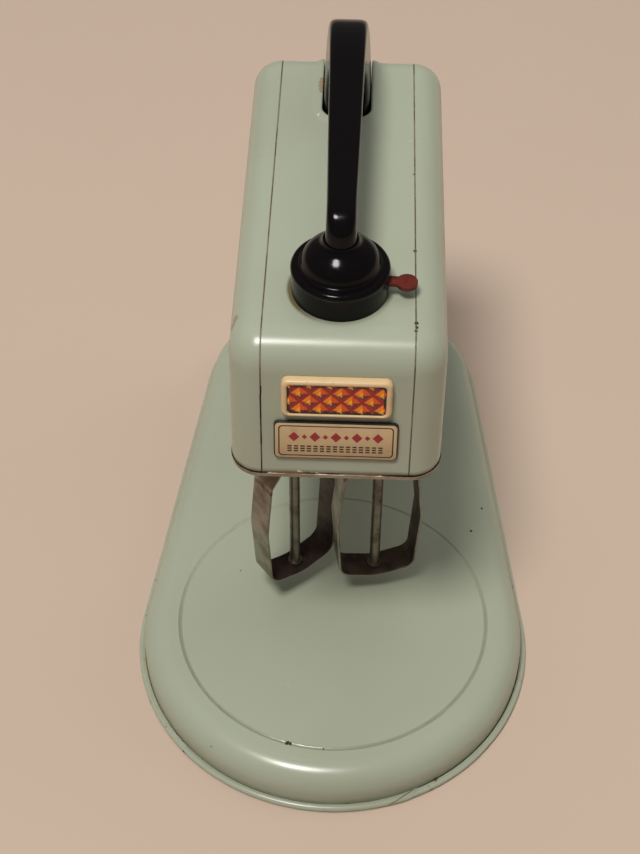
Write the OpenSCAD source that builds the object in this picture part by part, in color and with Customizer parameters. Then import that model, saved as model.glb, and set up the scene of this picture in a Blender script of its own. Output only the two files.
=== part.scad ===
// Toy stand mixer in painted tinplate: a teardrop base with a bowl ring, a pedestal with a hinge,
// a tilting box-shaped head with a moulded handle, a switch lever, a worm drive, a battery bay
// and two counter-rotating beaters.
// Millimetres, +Z up, the head faces -Y, and the rolled rim of the base rests on Z = 0.
// Distances along Y are measured from a datum line on the table, just behind the bowl ring's centre.

/* [Base] */
// Radius of the round front of the base, over its wall
base_r = 62; // [60:0.5:66]
// Height of the flat top of the base
base_h = 14; // [12:0.5:16]
// Distance of the bowl ring's centre, and of the round front's, ahead of the datum
bowl_ahead = 3; // [0:0.5:4]
// Distance from the datum to the rear wall of the base
base_back = 143.5; // [140:0.5:150]
// Radius of the two rear corners of the base
base_corner_r = 30; // [24:1:32]
// Angle by which each side of the base draws in towards the rear
side_lean = 6.801214; // [5:0.000001:7]
// Radius of the rounded top edge of the base
base_edge_r = 8; // [6:0.5:9]
// Radius of the rolled bead around the foot of the base
bead_r = 1.2; // [1:0.05:1.5]
// Radius of the bowl ring pressed into the top of the base
ring_r = 50; // [46:0.5:51]

/* [Pedestal] */
// Width of the pedestal
column_w = 40; // [36:1:42]
// Front face of the pedestal, measured from the datum
column_front = 108.5; // [108:0.5:110]
// Height of the hinge axis
hinge_z = 92; // [91:0.5:93]
// Distance of the hinge axis from the datum
hinge_y = 119; // [118.5:0.5:119.5]
// Diameter of the hinge pin
hinge_pin_d = 4; // [3:0.5:5]

/* [Head] */
// Half of the outer width of the head
head_half_w = 29.7; // [29:0.1:31]
// Height of the flat top of the head above the table
head_top = 148; // [146:0.5:150]
// Lower edge of the painted head shells
head_low = 103.4; // [103.2:0.1:103.8]
// Distance of the front bend's centre from the datum
head_front_y = -4; // [-4.5:0.1:-3]
// Distance of the rear bend's centre from the datum
head_rear_y = 111.5; // [111:0.5:113]
// Lean of the front face, with its foot further forward
front_lean = 6.801214; // [5:0.000001:7]
// Bend radius of the head's front and rear top edges
head_bend_r = 10; // [9.5:0.5:11]
// Edge radius of the drawn side covers
cover_edge_r = 8.6; // [8:0.1:9]
// Gap at the seams between the head shells
seam = 0.35; // [0.2:0.05:0.5]
// Thickness of the tinplate
tin = 0.8; // [0.6:0.1:0.9]

/* [Switch and handle] */
// Distance of the switch housing's axis from the datum
bell_y = 10.3; // [10:0.1:11]
// Radius of the switch housing's wall
bell_r = 13.4; // [13:0.1:14]
// Distance of the lever's round end from its pivot
lever_reach = 18.2; // [17:0.1:19]
// Length of the slot for the handle's rear foot
foot_slot = 36.2; // [35:0.1:37]
// Rings along the handle's loft
handle_rings = 44; // [24:4:60]

/* [Drive] */
// Distance between the two beater axes
beater_pitch = 26; // [26:0.1:26.4]
// Distance of the beater axes from the datum
beater_y = 11; // [10.5:0.1:11.5]
// Height of the worm axis
worm_z = 120; // [119:0.5:121]
// Teeth on each worm wheel
wheel_teeth = 20; // [18:1:20]
// Diameter of the motor can
motor_d = 24; // [20:0.5:24]

/* [Beaters] */
// Width of a beater loop
loop_w = 27.6; // [24:0.2:28]
// Lowest point of the beater loops
loop_low = 24; // [20:0.5:26]
// Width of the beater's strip
strip_w = 9; // [6:0.5:9.5]
// Thickness of the beater's strip
strip_t = 0.8; // [0.7:0.1:1]
// Diameter of the beater's rod
rod_d = 3.3; // [3:0.1:3.4]
// Angle at which the left loop stands
left_turn = 38; // [35:1:60]
// Angle at which the right loop stands
right_turn = 12; // [10:1:35]

/* [Hidden] */
$fn = 64;

// Colours
mint = [0.66, 0.75, 0.66];
black = [0.05, 0.05, 0.05];
cream = [0.90, 0.84, 0.70];
orange = [0.85, 0.30, 0.08];
rust_red = [0.52, 0.18, 0.12];
nickel = [0.62, 0.58, 0.53];
brass = [0.78, 0.62, 0.30];
steel = [0.55, 0.56, 0.58];
fibre = [0.55, 0.36, 0.20];

knuckle_r = 9.3;
column_back_y = hinge_y + knuckle_r;
plate_z = 101.7;
column_top = plate_z - 0.3;
foot_half = 7.55;
bell_z = head_top + 0.2;
beater_x = beater_pitch / 2;
seam_x = head_half_w - cover_edge_r - 0.4;
door_front = 58.2;
door_back = 108;
door_half_w = 26.8;
door_axis = [57.4, 100.2];
cell_r = 13;
cell_x = 13.3;
cell_z = 115.9;

base_corner_y = base_back - base_corner_r;
side_run = (base_corner_y + bowl_ahead - (base_r - base_corner_r) * sin(side_lean)) / cos(side_lean);
base_corner_x = (base_r - base_corner_r) * cos(side_lean) - side_run * sin(side_lean);

// Outlines are convex rings of circles [x, y, r], listed anticlockwise.
base_rings = [
    [0, -bowl_ahead, base_r],
    [base_corner_x, base_corner_y, base_corner_r],
    [-base_corner_x, base_corner_y, base_corner_r]
];
head_low_y = head_front_y - (head_top - head_bend_r - 80) * tan(front_lean);
head_rings = [
    [head_low_y, 80, head_bend_r],
    [head_rear_y, 80, head_bend_r],
    [head_rear_y, head_top - head_bend_r, head_bend_r],
    [head_front_y, head_top - head_bend_r, head_bend_r]
];
plate_front = front_y(102) + cover_edge_r;
plate_rear = head_rear_y + head_bend_r - cover_edge_r;
plate_rings = [
    [head_half_w - cover_edge_r, plate_front, cover_edge_r],
    [head_half_w - cover_edge_r, plate_rear, cover_edge_r],
    [-head_half_w + cover_edge_r, plate_rear, cover_edge_r],
    [-head_half_w + cover_edge_r, plate_front, cover_edge_r]
];
loop_rings = [
    [0, loop_low + 12, 12],
    [loop_w / 2 - 6.2, loop_low + 6.6, 5],
    [0, 52, loop_w / 2],
    [loop_w / 2 - 4.4, 72, 2.5],
    [0, 82, 4.2],
    [-loop_w / 2 + 4.4, 72, 2.5],
    [0, 52, loop_w / 2],
    [-loop_w / 2 + 6.2, loop_low + 6.6, 5]
];

base_steps = [
    [base_r, 90 + side_lean, side_run],
    [base_corner_r, 90 - side_lean, base_corner_x + 1]
];
cover_steps = [
    [head_bend_r, 90, head_rear_y - head_front_y],
    [head_bend_r, 90 - front_lean, 50]
];

// Front face of the head at a height
function front_y(z) = head_front_y - head_bend_r / cos(front_lean)
    - (head_top - head_bend_r - z) * tan(front_lean);

// Direction of the outward normal on the edge after ring i
function edge_normal(c, i) = let (
        a = c[i],
        b = c[(i + 1) % len(c)],
        d = [b[0] - a[0], b[1] - a[1]]
    ) atan2(d[1], d[0]) - 90 + asin((a[2] - b[2]) / norm(d));

// Points where the straight edges leave and reach the rings
function edge_points(c, inset) = [
    for (i = [0 : len(c) - 1], k = [0, 1]) let (
        p = c[(i + k) % len(c)],
        n = edge_normal(c, i)
    ) [p[0] + (p[2] - inset) * cos(n), p[1] + (p[2] - inset) * sin(n)]
];

// Smooth blend of a table's column at t, 0 to its last row
function blend(table, t, k) = let (
        n = len(table) - 1,
        i = min(floor(t), n - 1),
        u = t - i,
        p0 = table[max(i - 1, 0)][k],
        p1 = table[i][k],
        p2 = table[i + 1][k],
        p3 = table[min(i + 2, n)][k]
    ) p1 + u * ((p2 - p0) + u * ((2 * p0 - 5 * p1 + 4 * p2 - p3)
        + u * (3 * (p1 - p2) + p3 - p0))) / 2;

// Sets the origin under the middle of the base
module in_frame() {
    translate([0, (base_r + bowl_ahead - base_back) / 2, 0]) children();
}

// Lays a drawing of Y and Z upright, extruded along X
module across(w) {
    rotate([90, 0, 90]) linear_extrude(w, center = true) children();
}

// Filled outline, drawn inwards by an inset
module outline(c, inset = 0) {
    polygon(edge_points(c, inset));
    for (p = c) translate([p[0], p[1]]) circle(p[2] - inset);
}

// Follows an outline from bend to bend: each step is a bend's radius, its turn and the straight
// run after it. The section stands with X outwards, and each piece starts on the end face of the
// one before.
module follow(steps, k = 0) {
    r = steps[k][0];
    turn = steps[k][1];
    run = steps[k][2];
    difference() {
        rotate_extrude(angle = turn + 8, start = -4) translate([r, 0]) children();
        translate([-200, -200, -200]) cube([400, 200, 400]);
        rotate(turn) translate([-200, 0, -200]) cube([400, 200, 400]);
    }
    rotate(turn) {
        translate([r, run, 0]) rotate([90, 0, 0]) linear_extrude(run) children();
        if (k < len(steps) - 1)
            translate([r - steps[k + 1][0], run, 0]) follow(steps, k + 1) children();
    }
}

// Quarter of a ring with a short flat at its inner end
module quarter_ring(r, t, flat) {
    intersection() {
        difference() {
            circle(r);
            circle(r - t);
        }
        square(r + 1);
    }
    translate([-flat, r - t]) square([flat, t]);
}

// Rounded rectangle
module round_rect(w, h, r) {
    square([w - 2 * r, h], center = true);
    square([w, h - 2 * r], center = true);
    for (x = [-1, 1], y = [-1, 1])
        translate([x * (w / 2 - r), y * (h / 2 - r)]) circle(r);
}

// Rivet or screw with a domed head, standing on its head's flat
module stud(r, len, head_r, head_h) {
    ball = (head_r * head_r + head_h * head_h) / (2 * head_h);
    translate([0, 0, -len]) cylinder(r = r, h = len);
    intersection() {
        translate([0, 0, head_h - ball]) sphere(ball);
        cylinder(r = head_r + 1, h = head_h + 1);
    }
}

// Wire through a list of points, running along the axes with round bends
module wire(pts, r, bend) {
    last = len(pts) - 1;
    for (i = [0 : last - 1]) {
        d = (pts[i + 1] - pts[i]) / norm(pts[i + 1] - pts[i]);
        from = i == 0 ? 0 : bend;
        to = norm(pts[i + 1] - pts[i]) - (i == last - 1 ? 0 : bend);
        translate(pts[i] + from * d) rotate([0, acos(d[2]), atan2(d[1], d[0])])
            cylinder(r = r, h = to - from);
    }
    for (i = [1 : last - 1]) {
        a = (pts[i] - pts[i - 1]) / norm(pts[i] - pts[i - 1]);
        b = (pts[i + 1] - pts[i]) / norm(pts[i + 1] - pts[i]);
        c = cross(a, b);
        multmatrix([for (k = [0 : 2]) [a[k], b[k], c[k], pts[i][k]]])
            translate([-bend, bend, 0]) rotate(-90) rotate_extrude(angle = 90)
                translate([bend, 0]) circle(r);
    }
}

// Section of the base's edge: the rounded shoulder, the wall and the rolled bead
module base_section() {
    translate([-base_edge_r, base_h - base_edge_r]) quarter_ring(base_edge_r, tin, 1);
    translate([-tin, 1]) square([tin, base_h - base_edge_r - 1]);
    intersection() {
        translate([bead_r - 0.2, bead_r - 0.25]) circle(bead_r);
        translate([-3, 0]) square([9, 5]);
    }
}

// Base: drawn shell with a rounded edge, a rolled bead and the bowl ring
module base_shell() {
    color(mint) in_frame() difference() {
        union() {
            for (side = [0, 1]) mirror([side, 0, 0]) intersection() {
                translate([0, -100, -5]) cube([100, 300, 30]);
                translate([0, -bowl_ahead, 0]) rotate(-90) follow(base_steps) base_section();
            }
            translate([0, 0, base_h - tin]) linear_extrude(tin)
                outline(base_rings, base_edge_r + 0.5);
            translate([0, -bowl_ahead, base_h - tin - 0.6]) rotate_extrude()
                translate([ring_r - 1.6, 0]) square([3.2, 1]);
        }
        translate([0, -bowl_ahead, base_h + 0.55]) rotate_extrude() translate([ring_r, 0]) circle(0.85);
        for (x = [-1, 1], y = [111, 121])
            translate([x * (column_w / 2 - 0.4) - 0.6, y - 0.2, base_h - 2])
                cube([1.2, 5.4, 4]);
    }
}

// Side view of the pedestal: a stem, two flared feet, a rest and a knuckle
module column_profile(e) {
    difference() {
        union() {
            translate([column_front + e, base_h])
                square([column_back_y - column_front - 2 * e, hinge_z - base_h]);
            translate([column_front + e, base_h])
                square([hinge_y - column_front - e, column_top - base_h - e]);
            translate([hinge_y, hinge_z]) circle(knuckle_r - e);
            translate([column_front - 16, base_h]) square([17, 16.8]);
            translate([column_back_y - 1, base_h]) square([9, 8.8]);
        }
        translate([column_front - 16, base_h + 16.8]) circle(16 + e);
        translate([column_back_y + 8, base_h + 8.8]) circle(8 + e);
    }
}

// Bent sheet of the pedestal's outline
module column_sheet() {
    difference() {
        column_profile(0);
        column_profile(tin);
        translate([0, base_h - 1]) square([200, 1]);
    }
}

// Pedestal: front sheet with two cheeks and the tabs that hold it to the base
module column_shell() {
    color(mint) in_frame() difference() {
        union() {
            for (x = [-1, 1]) {
                translate([x * (column_w - tin) / 2, 0, 0]) across(tin) column_profile(0);
                for (y = [111, 121]) {
                    translate([x * (column_w / 2 - 0.4) - 0.4, y, base_h - 1.6])
                        cube([0.8, 5, 1.7]);
                    translate([x * (column_w / 2 - 1.8) - 1.8, y, base_h - tin - 0.8])
                        cube([3.6, 5, 0.8]);
                }
            }
            across(column_w - tin) intersection() {
                column_sheet();
                translate([0, 0]) square([hinge_y, 200]);
            }
        }
        translate([0, hinge_y, hinge_z]) rotate([0, 90, 0])
            cylinder(d = hinge_pin_d + 0.04, h = 80, center = true);
    }
}

// Pedestal: rear sheet, closing the back between the cheeks
module column_back() {
    color(mint) in_frame() across(column_w - 2 * tin - 0.2) intersection() {
        column_sheet();
        translate([hinge_y + 0.3, 0]) square([100, 200]);
    }
}

// Spacer tube that keeps the cheeks apart
module hinge_sleeve() {
    color(steel) in_frame() translate([0, hinge_y, hinge_z]) rotate([0, 90, 0])
        difference() {
            cylinder(r = hinge_pin_d / 2 + 1.4, h = column_w - 2 * tin - 0.2, center = true);
            cylinder(d = hinge_pin_d + 0.04, h = 80, center = true);
        }
}

// Pin on which the head tilts
module hinge_pin() {
    color(steel) in_frame() translate([0, hinge_y, hinge_z]) rotate([0, 90, 0]) {
        cylinder(d = hinge_pin_d, h = column_w + 6.4, center = true);
        for (s = [0, 1]) mirror([0, 0, s]) translate([0, 0, column_w / 2 + 2.8])
            stud(hinge_pin_d / 2, 1, 3.4, 1.5);
    }
}

// Section of a side cover's edge
module cover_section() {
    translate([-cover_edge_r, 0.4]) quarter_ring(cover_edge_r, tin, 0.6);
    translate([-tin, seam / 2]) square([tin, 0.4 - seam / 2]);
}

// Side cover of the head: a drawn pan, open towards the middle and below
module side_cover() {
    difference() {
        translate([seam_x, 0, 0]) rotate([90, 0, 90]) {
            translate([head_rear_y, head_top - head_bend_r, 0]) {
                follow(cover_steps) cover_section();
                translate([head_bend_r, 0, 0]) rotate([90, 0, 0]) linear_extrude(45) cover_section();
            }
            translate([0, 0, cover_edge_r + 0.4 - tin]) linear_extrude(tin)
                outline(head_rings, cover_edge_r + 0.3);
        }
        translate([0, -60, 0]) cube([60, 240, head_low]);
    }
}

module head_left_cover() {
    color(mint) in_frame() mirror([1, 0, 0]) side_cover();
}

module head_right_cover() {
    color(mint) in_frame() side_cover();
}

// Strip of the head's outline between two insets, above a height
module head_strip(outer, inner, low) {
    difference() {
        outline(head_rings, outer);
        outline(head_rings, inner);
        translate([-60, 0]) square([240, low]);
    }
}

// Plan of the slot for the handle's foot, rounded in front, open to the rear and drawn larger by e
module foot_plan(e) {
    slot_y = head_rear_y + head_bend_r - foot_slot - e;
    half = foot_half + e;
    r = 5 + e;
    for (x = [-1, 1]) translate([x * (half - r), slot_y + r]) circle(r);
    translate([r - half, slot_y]) square([2 * (half - r), 70]);
    translate([-half, slot_y + r]) square([2 * half, 60]);
}

// Middle shell of the head: front, top and rear in one bent strip, with a flanged slot for the
// handle's foot and joggled edges that go under the side covers
module head_centre_shell() {
    color(mint) in_frame() difference() {
        union() {
            across(2 * seam_x - seam) head_strip(0, tin, head_low);
            for (s = [-1, 1]) {
                translate([s * (seam_x - 0.5), 0, 0])
                    across(5) head_strip(1.25, 2.05, head_low + 3);
                translate([s * (seam_x - 2.1), 0, 0])
                    across(1.4) head_strip(tin - 0.1, 1.45, head_low + 3);
            }
            for (k = [0, 1]) intersection() {
                across(30) head_strip(k == 0 ? -0.35 : -0.7, 0.3, 134);
                linear_extrude(200) difference() {
                    foot_plan(k == 0 ? 1.6 : 0.9);
                    foot_plan(-0.3);
                }
            }
        }
        translate([0, 0, 135]) linear_extrude(60) foot_plan(0);
        translate([0, bell_y, 100]) cylinder(r = 2.05, h = 60);
        for (x = [-1, 1]) translate([x * 7, bell_y, 100]) cylinder(r = 1.4, h = 60);
    }
}

// Floor of the head: tray with an upturned rim, the spindle holes, the battery opening and
// the fixed half of the door's hinge
module head_bottom_plate() {
    color(nickel) in_frame() difference() {
        union() {
            translate([0, 0, plate_z]) linear_extrude(tin) outline(plate_rings, 0.4);
            translate([0, 0, plate_z]) linear_extrude(1.45) difference() {
                outline(plate_rings, 0);
                outline(plate_rings, tin);
            }
            translate([0, door_axis[0], door_axis[1]]) rotate([0, 90, 0])
                cylinder(r = 1.2, h = 19, center = true);
            translate([-9.5, door_axis[0] - 1.2, door_axis[1]]) cube([19, 1.2, plate_z - door_axis[1] + 0.2]);
        }
        translate([-door_half_w, door_front - 0.4, 90]) cube([2 * door_half_w, door_back - door_front + 0.7, 20]);
        for (x = [-1, 1]) translate([x * beater_x, beater_y, 90]) cylinder(r = 4.45, h = 20);
        for (x = [-1, 1], y = [-10, 28]) translate([x * 15, y, 90]) cylinder(r = 1.25, h = 20);
        for (x = [-1, 1]) translate([x * 25, 116.5, 90]) cylinder(r = 1.25, h = 20);
        translate([0, door_axis[0], door_axis[1]]) rotate([0, 90, 0])
            cylinder(r = 0.65, h = 60, center = true);
    }
}

// Two angle brackets that hang the head on the pin
module hinge_brackets() {
    color(steel) in_frame() for (s = [0, 1]) mirror([s, 0, 0]) difference() {
        union() {
            translate([column_w / 2 + 1.35, 0, 0]) across(1.5) {
                translate([hinge_y, hinge_z]) circle(6.5);
                polygon([[112.5, plate_z], [120.4, plate_z], [hinge_y + 6.5, hinge_z], [112.5, hinge_z]]);
            }
            translate([column_w / 2 + 1.9, 112.5, plate_z - 1.2]) cube([5.6, 7.9, 1.2]);
        }
        translate([0, hinge_y, hinge_z]) rotate([0, 90, 0])
            cylinder(d = hinge_pin_d + 0.12, h = 80, center = true);
        translate([25, 116.5, 90]) cylinder(r = 1.25, h = 20);
    }
}

// Rivets that hold the angle brackets to the floor of the head
module bracket_rivets() {
    color(steel) in_frame() for (x = [-1, 1]) translate([x * 25, 116.5, plate_z - 1.2]) {
        mirror([0, 0, 1]) stud(1.2, 2.8, 2, 0.9);
        translate([0, 0, 2]) cylinder(r = 1.9, h = 0.8);
    }
}

// Places a flat drawing on the leaning front face, with Z outwards
module on_front(z, lift) {
    translate([0, front_y(z), z]) rotate([90 - front_lean, 0, 0]) translate([0, 0, lift]) children();
}

// Raised frame on the front, with a sunk field
module trim_frame() {
    color(cream) in_frame() on_front(132.2, 0.1) difference() {
        union() {
            linear_extrude(1.9) round_rect(30.2, 12.4, 2);
            translate([0, 0, 1.9]) linear_extrude(0.5) round_rect(29.2, 11.4, 1.6);
        }
        translate([0, -0.2, 1.2]) linear_extrude(3) square([26.8, 9.4], center = true);
    }
}

// Faceted field: a lattice of points and hollows, split along the lines between the hollows
module trim_panel() {
    nx = 10;
    ny = 3;
    low = 0.45;
    rise = 0.55;
    row = nx + 1;
    top = row * (ny + 1);
    pts = [for (z = [0, 1], j = [0 : ny], i = [0 : nx]) [
        26.6 * (i / nx - 0.5),
        9.2 * (j / ny - 0.5),
        z == 0 ? 0 : low + ((i + j) % 2 == 0 ? rise : 0)
    ]];
    faces = [for (j = [0 : ny - 1], i = [0 : nx - 1]) let (
        p = j * row + i,
        q = top + p
    ) each concat(
        [[p, p + row, p + row + 1, p + 1]],
        (i + j) % 2 == 0
            ? [[q, q + 1, q + row], [q + 1, q + row + 1, q + row]]
            : [[q, q + 1, q + row + 1], [q, q + row + 1, q + row]]
    )];
    front = [for (i = [0 : nx - 1]) [i, i + 1, top + i + 1, top + i]];
    rear = [for (i = [0 : nx - 1]) let (p = ny * row + i) [p + 1, p, top + p, top + p + 1]];
    left = [for (j = [0 : ny - 1]) let (p = j * row) [p + row, p, top + p, top + p + row]];
    right = [for (j = [0 : ny - 1]) let (p = j * row + nx) [p, p + row, top + p + row, top + p]];
    color(orange) in_frame() on_front(132, 1.32)
        polyhedron(points = pts, faces = [for (f = concat(faces, front, rear, left, right))
            [for (k = [len(f) - 1 : -1 : 0]) f[k]]]);
}

// Flat plate below the frame, with a raised border
module name_plate() {
    color(cream) in_frame() on_front(116.3, 0.1) difference() {
        linear_extrude(1) round_rect(33.8, 13, 1.5);
        translate([0, 0, 0.85]) linear_extrude(1) difference() {
            round_rect(31.2, 10.6, 1);
            round_rect(30.4, 9.8, 0.8);
        }
    }
}

// Bell-shaped switch housing with a bead, a step, a dome, a neck ring and a slot for the lever
module switch_housing() {
    dome_z = bell_z + 6.6;
    color(black) in_frame() translate([0, bell_y, 0]) difference() {
        rotate_extrude() difference() {
            union() {
                translate([0, bell_z]) square([bell_r, 7.6]);
                translate([bell_r - 1.1, bell_z + 7.6]) circle(1.3);
                translate([0, bell_z + 7]) square([bell_r - 1.1, 1.9]);
                translate([10.7, bell_z + 8.8]) circle(0.9);
                translate([0, bell_z + 8]) square([10.7, 1.7]);
                intersection() {
                    translate([0, dome_z]) circle(10.8);
                    translate([0, bell_z + 8]) square([10.6, 8.4]);
                }
                translate([0, bell_z + 14]) square([4.9, 2.6]);
                translate([4.9, bell_z + 15.95]) circle(0.65);
            }
            translate([-1, bell_z - 1]) square([bell_r - 0.6, 7.3]);
            intersection() {
                translate([0, dome_z]) circle(8.9);
                translate([-1, bell_z + 6.2]) square([11.4, 6.4]);
            }
            translate([-1, 0]) square([2.5, 400]);
            translate([-20, 0]) square([20, 400]);
        }
        rotate([0, 0, -17]) rotate_extrude(angle = 60)
            translate([bell_r - 4, bell_z + 3.2]) square([8, 2.4]);
    }
}

// Post on which the lever turns
module switch_pivot() {
    color(steel) in_frame() translate([0, bell_y, 0]) {
        translate([0, 0, head_top - 3]) cylinder(r = 1.98, h = 8.3);
        translate([0, 0, head_top - tin - 1.1]) cylinder(r = 3.4, h = 1);
        translate([0, 0, head_top + 0.05]) cylinder(r = 3.4, h = 3.3);
        translate([0, 0, head_top + 5.2]) cylinder(r = 3, h = 0.8);
    }
}

// Flat switch lever with a round end
module switch_lever() {
    color(rust_red) in_frame() translate([0, bell_y, bell_z + 3.7]) rotate(-6) difference() {
        linear_extrude(1.1) {
            circle(4.4);
            translate([0, -1.6]) square([lever_reach, 3.2]);
            translate([lever_reach, 0]) circle(2.95);
        }
        translate([0, 0, -1]) cylinder(r = 2.05, h = 4);
    }
}

// Two sprung contacts under the lever
module switch_contacts() {
    color(brass) in_frame() for (s = [-1, 1]) translate([s * 7, bell_y, 0]) {
        translate([0, 0, head_top - 5.5]) cylinder(r = 1.2, h = 6.5);
        translate([0, 0, head_top + 0.1]) cylinder(r = 2.2, h = 1.6);
        translate([0, 0, head_top - tin - 1.3]) cylinder(r = 2.2, h = 1.1);
    }
}

// Stations of the handle: Y, Z, heading, half width, half depth and squareness
handle_path = [
    [10.3, 165, 90, 4.6, 4.6, 2],
    [10.3, 166.8, 90, 4.3, 4.4, 2.1],
    [11, 169.3, 68, 4.1, 4.3, 2.6],
    [14, 171.3, 24, 4.05, 4.1, 3.4],
    [22, 171.7, 3, 4.15, 3.9, 4.2],
    [45, 172.1, 2, 4.6, 4, 4.6],
    [68, 172.5, -1, 5, 4.3, 5],
    [84, 171.3, -13, 5.4, 5.2, 4.8],
    [95, 167, -38, 5.9, 8, 4.2],
    [100.3, 160.2, -62, 6.5, 11.4, 3.6],
    [102.6, 152.6, -80, 6.9, 15.2, 3.4],
    [103.2, 146, -90, 7, 17.2, 3.6],
    [103.2, 135.2, -90, 7, 17.2, 3.8]
];
handle_sides = 28;

// Ring of points across the handle at station t
function handle_ring(t) = let (
        y = blend(handle_path, t, 0),
        z = blend(handle_path, t, 1),
        h = blend(handle_path, t, 2),
        a = blend(handle_path, t, 3),
        b = blend(handle_path, t, 4),
        p = 2 / blend(handle_path, t, 5)
    ) [
        for (k = [0 : handle_sides - 1]) let (
            q = 360 * k / handle_sides,
            u = a * sign(cos(q)) * pow(abs(cos(q)), p),
            v = b * sign(sin(q)) * pow(abs(sin(q)), p)
        ) [u, y - v * sin(h), z + v * cos(h)]
    ];

// Moulded handle: a round neck, a bar that widens to the rear and a flared foot
module handle() {
    n = handle_rings;
    m = handle_sides;
    last = len(handle_path) - 1;
    pts = [for (i = [0 : n]) each handle_ring(last * i / n)];
    sides = [for (i = [0 : n - 1], k = [0 : m - 1]) each [
        [i * m + k, (i + 1) * m + k, i * m + (k + 1) % m],
        [(i + 1) * m + k, (i + 1) * m + (k + 1) % m, i * m + (k + 1) % m]
    ]];
    ends = [[for (k = [0 : m - 1]) k], [for (k = [m - 1 : -1 : 0]) n * m + k]];
    color(black) in_frame() difference() {
        polyhedron(points = pts, faces = concat(sides, ends), convexity = 6);
        translate([0, bell_y, 160]) cylinder(r = 1.3, h = 7.6);
        translate([0, 103.4, 130]) cylinder(r = 1.5, h = 16);
    }
}

// Screws that hold the handle: up through the housing's dome, and up into the foot
module handle_screws() {
    color(steel) in_frame() {
        translate([0, bell_y, bell_z + 12.4]) mirror([0, 0, 1]) stud(1.25, 6, 2.6, 1.6);
        translate([0, 103.4, 135.1]) mirror([0, 0, 1]) stud(1.45, 6, 3.4, 1.8);
    }
}

// Cage of folded steel that carries the spindles, the worm and the motor
module gear_frame() {
    color(steel) in_frame() difference() {
        union() {
            translate([-20, -7, plate_z + tin]) cube([40, 1, 135 - plate_z - tin]);
            translate([-20, 24, plate_z + tin]) cube([40, 1, 135 - plate_z - tin]);
            translate([-20, -7, 134]) cube([40, 32, 1]);
            translate([-20, -13, plate_z + tin]) cube([40, 6.5, 1]);
            translate([-20, 24.5, plate_z + tin]) cube([40, 6.5, 1]);
        }
        for (x = [-1, 1]) translate([x * beater_x, beater_y, 130]) cylinder(r = 3.05, h = 10);
        translate([0, -10, worm_z]) rotate([-90, 0, 0]) cylinder(r = 3.05, h = 8);
        translate([0, 20, worm_z]) rotate([-90, 0, 0]) cylinder(r = 4.05, h = 8);
        for (x = [-1, 1], y = [-10, 28]) translate([x * 15, y, 90]) cylinder(r = 1.25, h = 20);
    }
}

// Screws that hold the cage to the floor of the head
module frame_screws() {
    color(steel) in_frame() for (x = [-1, 1], y = [-10, 28])
        translate([x * 15, y, plate_z]) {
            mirror([0, 0, 1]) stud(1.2, 2.6, 2.2, 1.1);
            translate([0, 0, 1.8]) cylinder(r = 2, h = 1);
        }
}

// Flanged bush for the worm's front end
module worm_bush() {
    color(brass) in_frame() translate([0, -7, worm_z]) rotate([-90, 0, 0]) difference() {
        union() {
            translate([0, 0, -1.2]) cylinder(r = 4.2, h = 1.2);
            cylinder(r = 3, h = 2.6);
        }
        translate([0, 0, -5]) cylinder(r = 1.55, h = 20);
    }
}

// Motor can with its nose and two flats
module motor_can() {
    color(steel) in_frame() translate([0, 25, worm_z]) rotate([-90, 0, 0]) difference() {
        union() {
            intersection() {
                translate([0, 0, 0.05]) cylinder(d = motor_d, h = 26);
                translate([-15, -10.5, 0]) cube([30, 21, 40]);
            }
            translate([0, 0, -2]) cylinder(r = 4, h = 3);
        }
        translate([0, 0, -5]) cylinder(r = 1.55, h = 10);
    }
}

// Insulating cap at the motor's rear
module motor_end_cap() {
    color(fibre) in_frame() translate([0, 51.1, worm_z]) rotate([-90, 0, 0]) difference() {
        intersection() {
            union() {
                cylinder(d = motor_d - 1, h = 1.6);
                cylinder(r = 4.5, h = 3);
            }
            translate([-15, -10, 0]) cube([30, 20, 20]);
        }
        for (x = [-1, 1]) translate([x * 7.5 - 1.55, -0.35, -1]) cube([3.1, 0.7, 5]);
    }
}

// Solder tags of the motor
module motor_terminals() {
    color(brass) in_frame() for (x = [-1, 1])
        translate([x * 7.5 - 1.5, 51.2, worm_z - 0.3]) cube([3, 3.4, 0.6]);
}

// Motor shaft, running from the motor through the worm to its front bush
module motor_shaft() {
    color(steel) in_frame() translate([0, -8.6, worm_z]) rotate([-90, 0, 0])
        cylinder(r = 1.5, h = 38);
}

// Single-start worm with a rounded thread, one tooth of the wheels per turn
module drive_worm() {
    pitch = 2 * PI * 10 / 20;
    length = 14;
    start = -360 * (length / 2) / pitch;
    color(brass) in_frame() translate([0, beater_y - length / 2, worm_z]) rotate([-90, 0, 0])
        difference() {
            rotate(start) linear_extrude(length, twist = -360 * length / pitch, slices = 64, segments = 16)
                translate([0.75, 0]) circle(2.75, $fn = 16);
            translate([0, 0, -1]) cylinder(r = 1.52, h = length + 2);
        }
}

// Wave-shaped teeth around a wheel, with a gap or a crest at angle zero
module wave_wheel(phase) {
    steps = wheel_teeth * 10;
    polygon([for (k = [0 : steps - 1]) let (
        q = 360 * k / steps,
        r = 9.81 + 0.72 * cos(wheel_teeth * q + phase)
    ) [r * cos(q), r * sin(q)]]);
}

// Worm wheel with its hub
module worm_wheel(phase) {
    difference() {
        union() {
            translate([0, 0, worm_z - 1.6]) linear_extrude(3.2) wave_wheel(phase);
            translate([0, 0, worm_z - 6]) cylinder(r = 4.6, h = 9);
        }
        translate([0, 0, 100]) cylinder(r = 2.02, h = 40);
        for (k = [0 : 4]) rotate(72 * k) translate([6.7, 0, 100]) cylinder(r = 1.3, h = 40);
    }
}

module left_gear() {
    color(brass) in_frame() translate([-beater_x, beater_y, 0]) worm_wheel(0);
}

module right_gear() {
    color(brass) in_frame() translate([beater_x, beater_y, 0]) worm_wheel(180);
}

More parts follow.
